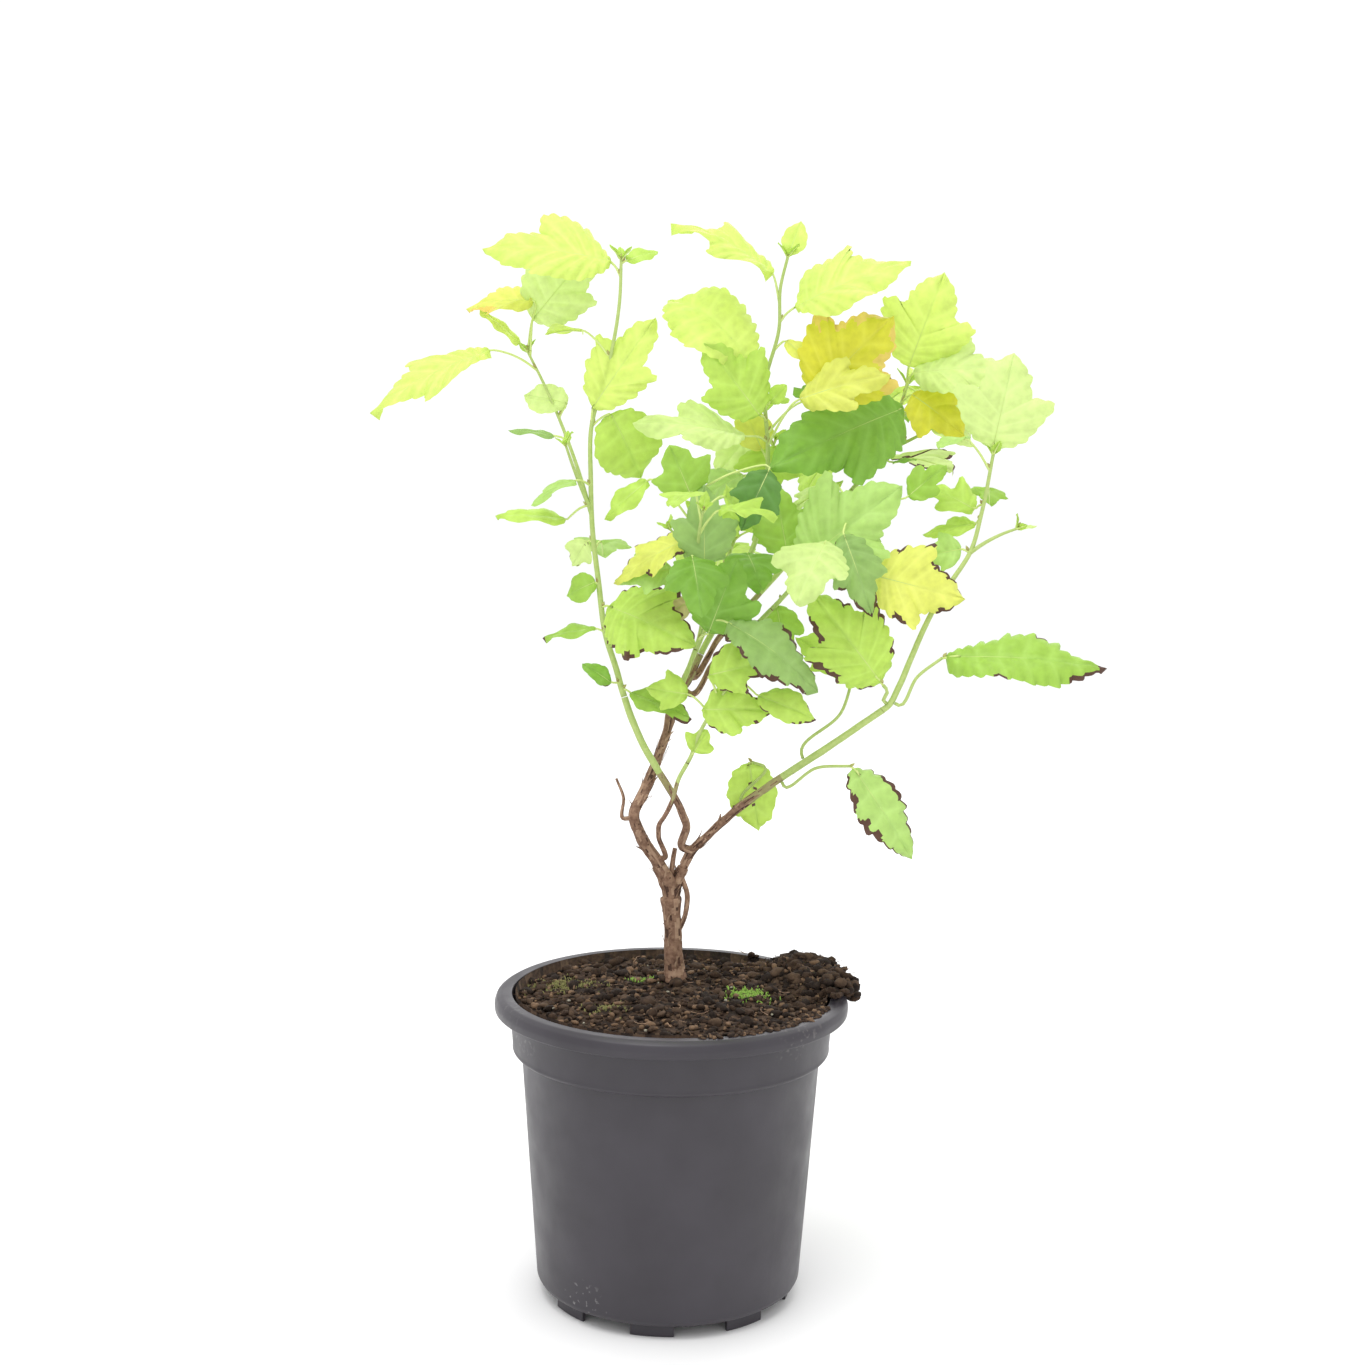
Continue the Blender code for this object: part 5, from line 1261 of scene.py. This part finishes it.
def build_wood(limbs):
    wood = Piece()
    trunk = Path(TRUNK_WAY)
    left = Path(FORK_LEFT_WAY)
    right = Path(FORK_RIGHT_WAY)
    bark_tube(wood, trunk, TRUNK_RADII, NEVER_GREEN, 1.0, flare=TRUNK_FLARE, relief=0.00075,
              knots=((0.97, 0.0010, 0.004),))
    bark_tube(wood, left, FORK_LEFT_RADII, NEVER_GREEN, 5.0, relief=0.00080, knots=((0.6, 0.0008, 0.004),))
    bark_tube(wood, right, FORK_RIGHT_RADII, NEVER_GREEN, 9.0, relief=0.00070)
    bark_tube(wood, Path(SIDE_STEM_WAY), SIDE_STEM_RADII, NEVER_GREEN, 13.0, relief=0.00030)
    bark_tube(wood, Path(DEAD_STUB_WAY), DEAD_STUB_RADII, NEVER_GREEN, 17.0, relief=0.00045)
    for i, (name, (path, radii, parent_point)) in enumerate(limbs.items()):
        start = [parent_point] + [path.at(k / 40) for k in range(41)]
        grown = Path(start)
        flare = BOUGH_FLARE if name not in ("bough_left", "bough_right", "bough_right_outer") else 0.0
        size = BARK_RELIEF * min(1.0, radii[0] / FULL_RELIEF_RADIUS)
        radii = (radii[0] * SLIMMER.get(name, 1.0), radii[1])
        bark_tube(wood, grown, radii, GREEN_FROM[name], 21.0 + 3.7 * i, flare=flare, relief=size)
    rng = random.Random(PEEL_SEED)
    sites = [(trunk, TRUNK_RADII, 26), (left, FORK_LEFT_RADII, 16), (right, FORK_RIGHT_RADII, 12)]
    sites += [(*limbs["bough_left"][:2], 26), (*limbs["bough_right"][:2], 8)]
    for path, radii, number in sites:
        for _ in range(number):
            place = rng.uniform(0.02, 0.80) * (1.0 if path is not limbs["bough_right"][0] else 0.30)
            radius = radii[0] + (radii[1] - radii[0]) * place
            length = rng.uniform(0.004, 0.011)
            lift = rng.uniform(0.0002, 0.0022)
            finish = ("bark_tan", "bark", "bark_dark")[rng.randrange(3)]
            peel(wood, path, place, radius, rng.uniform(0, 2 * math.pi), length,
                 rng.uniform(0.0008, 0.0020), lift, finish)
    wood.make("woody_stems", "bark", "trunk", *limbs)


# Soil surface

def ground(x, y):
    """The height of the crumbly surface."""
    angle = math.atan2(y, x)
    share = math.hypot(x, y) / MOUTH_RADIUS
    height = SOIL_EDGE + SOIL_DOME * (1 - min(share, 1.0) ** 2)
    height += SPILL_HEIGHT * spill(angle) * math.exp(-((share - 1.0) / 0.30) ** 2)
    here = Vector((x, y, 0.0))
    rough = 0.0020 * noise.noise(here * 75) + 0.0013 * noise.noise(here * 190) + 0.0006 * noise.noise(here
                                                                                                      * 520)
    return height + rough


def edge_of_soil(angle):
    over = max(spill(angle) - 0.10, 0.0) / 0.90
    return MOUTH_RADIUS - 0.0016 + SPILL_REACH * over


def build_ground(soil):
    verts = [Vector((0.0, 0.0, ground(0.0, 0.0)))]
    rows = [[0]]
    for band in range(1, SOIL_BANDS + 2):
        rows.append(list(range(len(verts), len(verts) + SOIL_TURNS)))
        for k in range(SOIL_TURNS):
            angle = 2 * math.pi * k / SOIL_TURNS
            edge = edge_of_soil(angle)
            radius = edge * min(band / SOIL_BANDS, 1.0)
            x, y = radius * math.cos(angle), radius * math.sin(angle)
            height = ground(x, y)
            if radius > LIP_EDGE:
                height = max(height, POT_HEIGHT + SOIL_OVER_LIP)
            if band > SOIL_BANDS:
                height -= 0.0030 if edge < MOUTH_RADIUS else 0.0005
            verts.append(Vector((x, y, height)))
    finishes = []
    faces = [tuple(reversed(face)) for face in faces_between(rows, SOIL_TURNS)]
    for face in faces:
        spot = verts[face[0]]
        patch = noise.noise(spot * 240)
        finishes.append("soil_light" if patch > 0.26 else "soil_dark" if patch < -0.16 else "soil")
    soil.add((verts, faces), finishes)


def lump_shapes(fine):
    """The corners and faces of a ball of 20 or 80 faces."""
    work = bmesh.new()
    bmesh.ops.create_icosphere(work, subdivisions=2 if fine else 1, radius=1.0)
    work.verts.ensure_lookup_table()
    verts = [v.co.copy() for v in work.verts]
    faces = [tuple(v.index for v in face.verts) for face in work.faces]
    work.free()
    return verts, faces


def add_lump(soil, shape, centre, size, finish, rng, stretch=0.5):
    verts, faces = shape
    seed = Vector((rng.uniform(0, 90), rng.uniform(0, 90), rng.uniform(0, 90)))
    scale = Vector((rng.uniform(1 - stretch, 1 + stretch), rng.uniform(0.7, 1.2), rng.uniform(0.5, 0.9)))
    turn = Matrix.Rotation(rng.uniform(0, 2 * math.pi), 3, "Z") @ Matrix.Rotation(rng.uniform(-0.6, 0.6), 3,
                                                                                  "X")
    made = []
    for v in verts:
        rough = 1 + 0.55 * noise.noise(v * 1.4 + seed)
        made.append(centre + turn @ Vector((v.x * scale.x, v.y * scale.y, v.z * scale.z)) * (size * rough))
    soil.add((made, faces), finish)


def scatter_point(rng, heap_share):
    """A place on the soil, either anywhere or on the heap over the lip, and its height."""
    if rng.random() < heap_share:
        angle = SPILL_HEADING + rng.gauss(0, 0.30)
        radius = edge_of_soil(angle) * rng.uniform(0.72, 1.01)
    else:
        angle = rng.uniform(0, 2 * math.pi)
        radius = (edge_of_soil(angle) - 0.001) * math.sqrt(rng.random())
    x, y = radius * math.cos(angle), radius * math.sin(angle)
    height = ground(x, y)
    if radius > LIP_EDGE:
        height = max(height, POT_HEIGHT + SOIL_OVER_LIP)
    return Vector((x, y, height))


def build_soil_surface():
    rng = random.Random(SOIL_SEED)
    soil = Piece()
    build_ground(soil)
    small = lump_shapes(False)
    large = lump_shapes(True)
    shades = ("soil", "soil_dark", "soil", "soil_light", "soil", "soil_dark", "chip")
    for _ in range(CRUMBS):
        size = rng.uniform(0.0005, 0.0016)
        centre = scatter_point(rng, 0.22) + UP * (size * 0.4)
        add_lump(soil, small, centre, size, shades[rng.randrange(len(shades))], rng)
    for _ in range(LUMPS):
        size = rng.uniform(0.0014, 0.0032)
        centre = scatter_point(rng, 0.42) + UP * (size * 0.35)
        add_lump(soil, large, centre, size, shades[rng.randrange(len(shades) - 1)], rng)
    for _ in range(SPECKS):
        centre = scatter_point(rng, 0.10) + UP * 0.0010
        size = rng.uniform(0.0004, 0.0010)
        add_lump(soil, small, centre, size, "speck", rng)
    for _ in range(CHIPS):
        centre = scatter_point(rng, 0.25) + UP * 0.0012
        add_lump(soil, small, centre, rng.uniform(0.0010, 0.0022), "chip", rng, stretch=0.9)
    for _ in range(HANGING_CRUMBS):
        angle = rng.gauss(*HANGING_HEADING)
        out = rng.uniform(-0.011, 0.0050)
        rise = rng.uniform(0.0, 0.0055) if out < 0 else rng.uniform(-0.0045, 0.0035)
        radius = LIP_RADIUS + out
        centre = Vector((radius * math.cos(angle), radius * math.sin(angle), POT_HEIGHT + 0.001 + rise))
        add_lump(soil, large, centre, rng.uniform(0.0014, 0.0029), shades[rng.randrange(len(shades) - 1)],
                 rng)
    for _ in range(LIP_CRUMBS):
        angle = rng.uniform(*LIP_CRUMB_HEADINGS)
        radius = MOUTH_RADIUS + rng.uniform(-0.0025, 0.0030)
        centre = Vector((radius * math.cos(angle), radius * math.sin(angle), POT_HEIGHT + 0.0002))
        add_lump(soil, small, centre, rng.uniform(0.0006, 0.0017), shades[rng.randrange(len(shades))], rng)
    soil.make("soil_crumbs", "soil", "soil")
    build_fibres(rng)
    build_moss(rng)


def build_fibres(rng):
    fibres = Piece()
    for _ in range(FIBRES):
        start = scatter_point(rng, 0.35) + UP * 0.0008
        heading = rng.uniform(0, 360)
        points = [start]
        for _ in range(3):
            heading += rng.uniform(-50, 50)
            points.append(points[-1] + heading_vector(heading, rng.uniform(-12, 22))
                          * rng.uniform(0.0015, 0.0040))
        finish = ("chip", "soil_light", "soil_dark", "bark_tan")[rng.randrange(4)]
        fibres.add(tube(Path(points), (0.00022, 0.00010), 4, 0.0012), finish)
    fibres.make("soil_fibres", "soil", "soil")


def build_moss(rng):
    moss = Piece()
    for x, y, reach_x, reach_y, finish, number in MOSS_PATCHES:
        for _ in range(number):
            place = (rng.gauss(0, 0.45), rng.gauss(0, 0.45))
            px, py = x + place[0] * reach_x, y + place[1] * reach_y
            if math.hypot(px, py) > MOUTH_RADIUS - 0.004:
                continue
            foot = Vector((px, py, ground(px, py) - 0.0003))
            lean = heading_vector(rng.uniform(0, 360), rng.uniform(35, 85))
            moss.add(egg(foot + lean * 0.0010, lean, rng.uniform(0.0018, 0.0034),
                         rng.uniform(0.0003, 0.0006), 5, 4), finish)
    moss.make("soil_moss", "soil", "soil")


# Pot

def rounded(profile):
    """The profile with each corner eased over a short way."""
    out = [profile[0]]
    for before, corner, after in zip(profile, profile[1:], profile[2:]):
        here = Vector(corner)
        back, ahead = Vector(before) - here, Vector(after) - here
        start = here + back.normalized() * min(POT_EASE, back.length * 0.4)
        end = here + ahead.normalized() * min(POT_EASE, ahead.length * 0.4)
        for t in (0.0, 0.33, 0.67, 1.0):
            out.append(tuple(start * (1 - t) ** 2 + here * (2 * t * (1 - t)) + end * t ** 2))
    return out + [profile[-1]]


def build_pot():
    """The moulded pot with eased edges, and its foot ring notched all the way round."""
    angles = [2 * math.pi * k / POT_TURNS for k in range(POT_TURNS)]
    headings = [NOTCH_FIRST + 2 * math.pi * i / NOTCH_COUNT for i in range(NOTCH_COUNT)]
    for heading in headings:
        for edge in (heading - NOTCH_ANGLE / 2, heading + NOTCH_ANGLE / 2):
            angles += [edge - NOTCH_STEP, edge + NOTCH_STEP]
    angles = sorted(angle % (2 * math.pi) for angle in angles)
    notched = [any(abs(math.remainder(a - h, 2 * math.pi)) < NOTCH_ANGLE / 2 for h in headings)
               for a in angles]
    verts = []
    rows = []
    for radius, height in rounded(pot_inner() + pot_outer()):
        if radius == 0.0:
            rows.append([len(verts)])
            verts.append(Vector((0.0, 0.0, height)))
            continue
        rows.append(list(range(len(verts), len(verts) + len(angles))))
        ring = radius > FOOT_RING_RADIUS - FOOT_RING_WIDTH - 0.0005
        for angle, notch in zip(angles, notched):
            z = max(height, NOTCH_HEIGHT) if ring and notch else height
            verts.append(Vector((radius * math.cos(angle), radius * math.sin(angle), z)))
    pot = Piece()
    pot.add((verts, [face[::-1] for face in faces_between(rows, len(angles))]), "pot")
    obj = pot.make("pot_shell", "pot", "pot")
    obj.data.set_sharp_from_angle(angle=SHARP_ANGLE)


# Camera, light and floor

def build_studio():
    scene = bpy.context.scene
    camera = bpy.data.objects.new("camera", bpy.data.cameras.new("camera"))
    camera.data.lens = CAMERA_LENS
    camera.data.sensor_width = SENSOR_WIDTH
    camera.data.clip_start = 0.02
    turned = Matrix.Rotation(math.pi / 2 - CAMERA_TILT_DOWN, 4, "X") @ Matrix.Rotation(CAMERA_ROLL, 4, "Z")
    camera.matrix_world = Matrix.Translation(CAMERA_PLACE) @ turned
    scene.collection.objects.link(camera)
    scene.camera = camera
    scene.view_settings.view_transform = "Standard"
    world = bpy.data.worlds.new("white_room")
    scene.world = world
    world.use_nodes = True
    background = world.node_tree.nodes["Background"]
    background.inputs["Color"].default_value = (1.0, 1.0, 1.0, 1.0)
    background.inputs["Strength"].default_value = ROOM_LIGHT
    for name, (place, size, power) in SOFTBOXES.items():
        light = bpy.data.lights.new(name, "AREA")
        light.shape = "SQUARE"
        light.size = size
        light.energy = power
        lamp = bpy.data.objects.new(name, light)
        lamp.location = place
        lamp.rotation_euler = (LIGHTS_AIM - Vector(place)).to_track_quat("-Z", "Y").to_euler()
        scene.collection.objects.link(lamp)
    mesh = bpy.data.meshes.new("floor")
    corners = [(x * FLOOR_REACH, y * FLOOR_REACH, 0) for x, y in ((-1, -1), (1, -1), (1, 1), (-1, 1))]
    mesh.from_pydata(corners, [], [(0, 1, 2, 3)])
    mesh.materials.append(rough_finish("floor_white", (0.95, 0.95, 0.95), (0.94, 0.94, 0.94), 0.9, 3.0,
                                       0.0001))
    floor = bpy.data.objects.new("floor", mesh)
    scene.collection.objects.link(floor)


def main():
    make_finishes()
    build_pot()
    trunk_solids, parents = trunk_and_forks()
    limb_trees = [tree_of(solid) for solid in trunk_solids]
    limbs = {}
    for name, spec in LIMBS.items():
        path = limb_path(spec, parents)
        solid = tube(path, spec["radii"], LIMB_SIDES if spec["radii"][0] > 0.001 else 6, LIMB_STEP)
        limb_trees.append(tree_of(solid))
        parents[name] = (path, spec["radii"], limb_trees[-1])
        limbs[name] = (path, spec["radii"], parents[spec["on"][0]][0].at(spec["on"][1]))
    masses = [Mass(name, spec, parents) for name, spec in MASSES.items()]
    for mass in masses:
        grow_placed(mass, limb_trees, masses)
    for mass in masses:
        grow_seeded(mass, limb_trees, masses)
    for mass in masses:
        finish_mass(mass)
    build_wood(limbs)
    build_soil_surface()
    build_studio()


main()
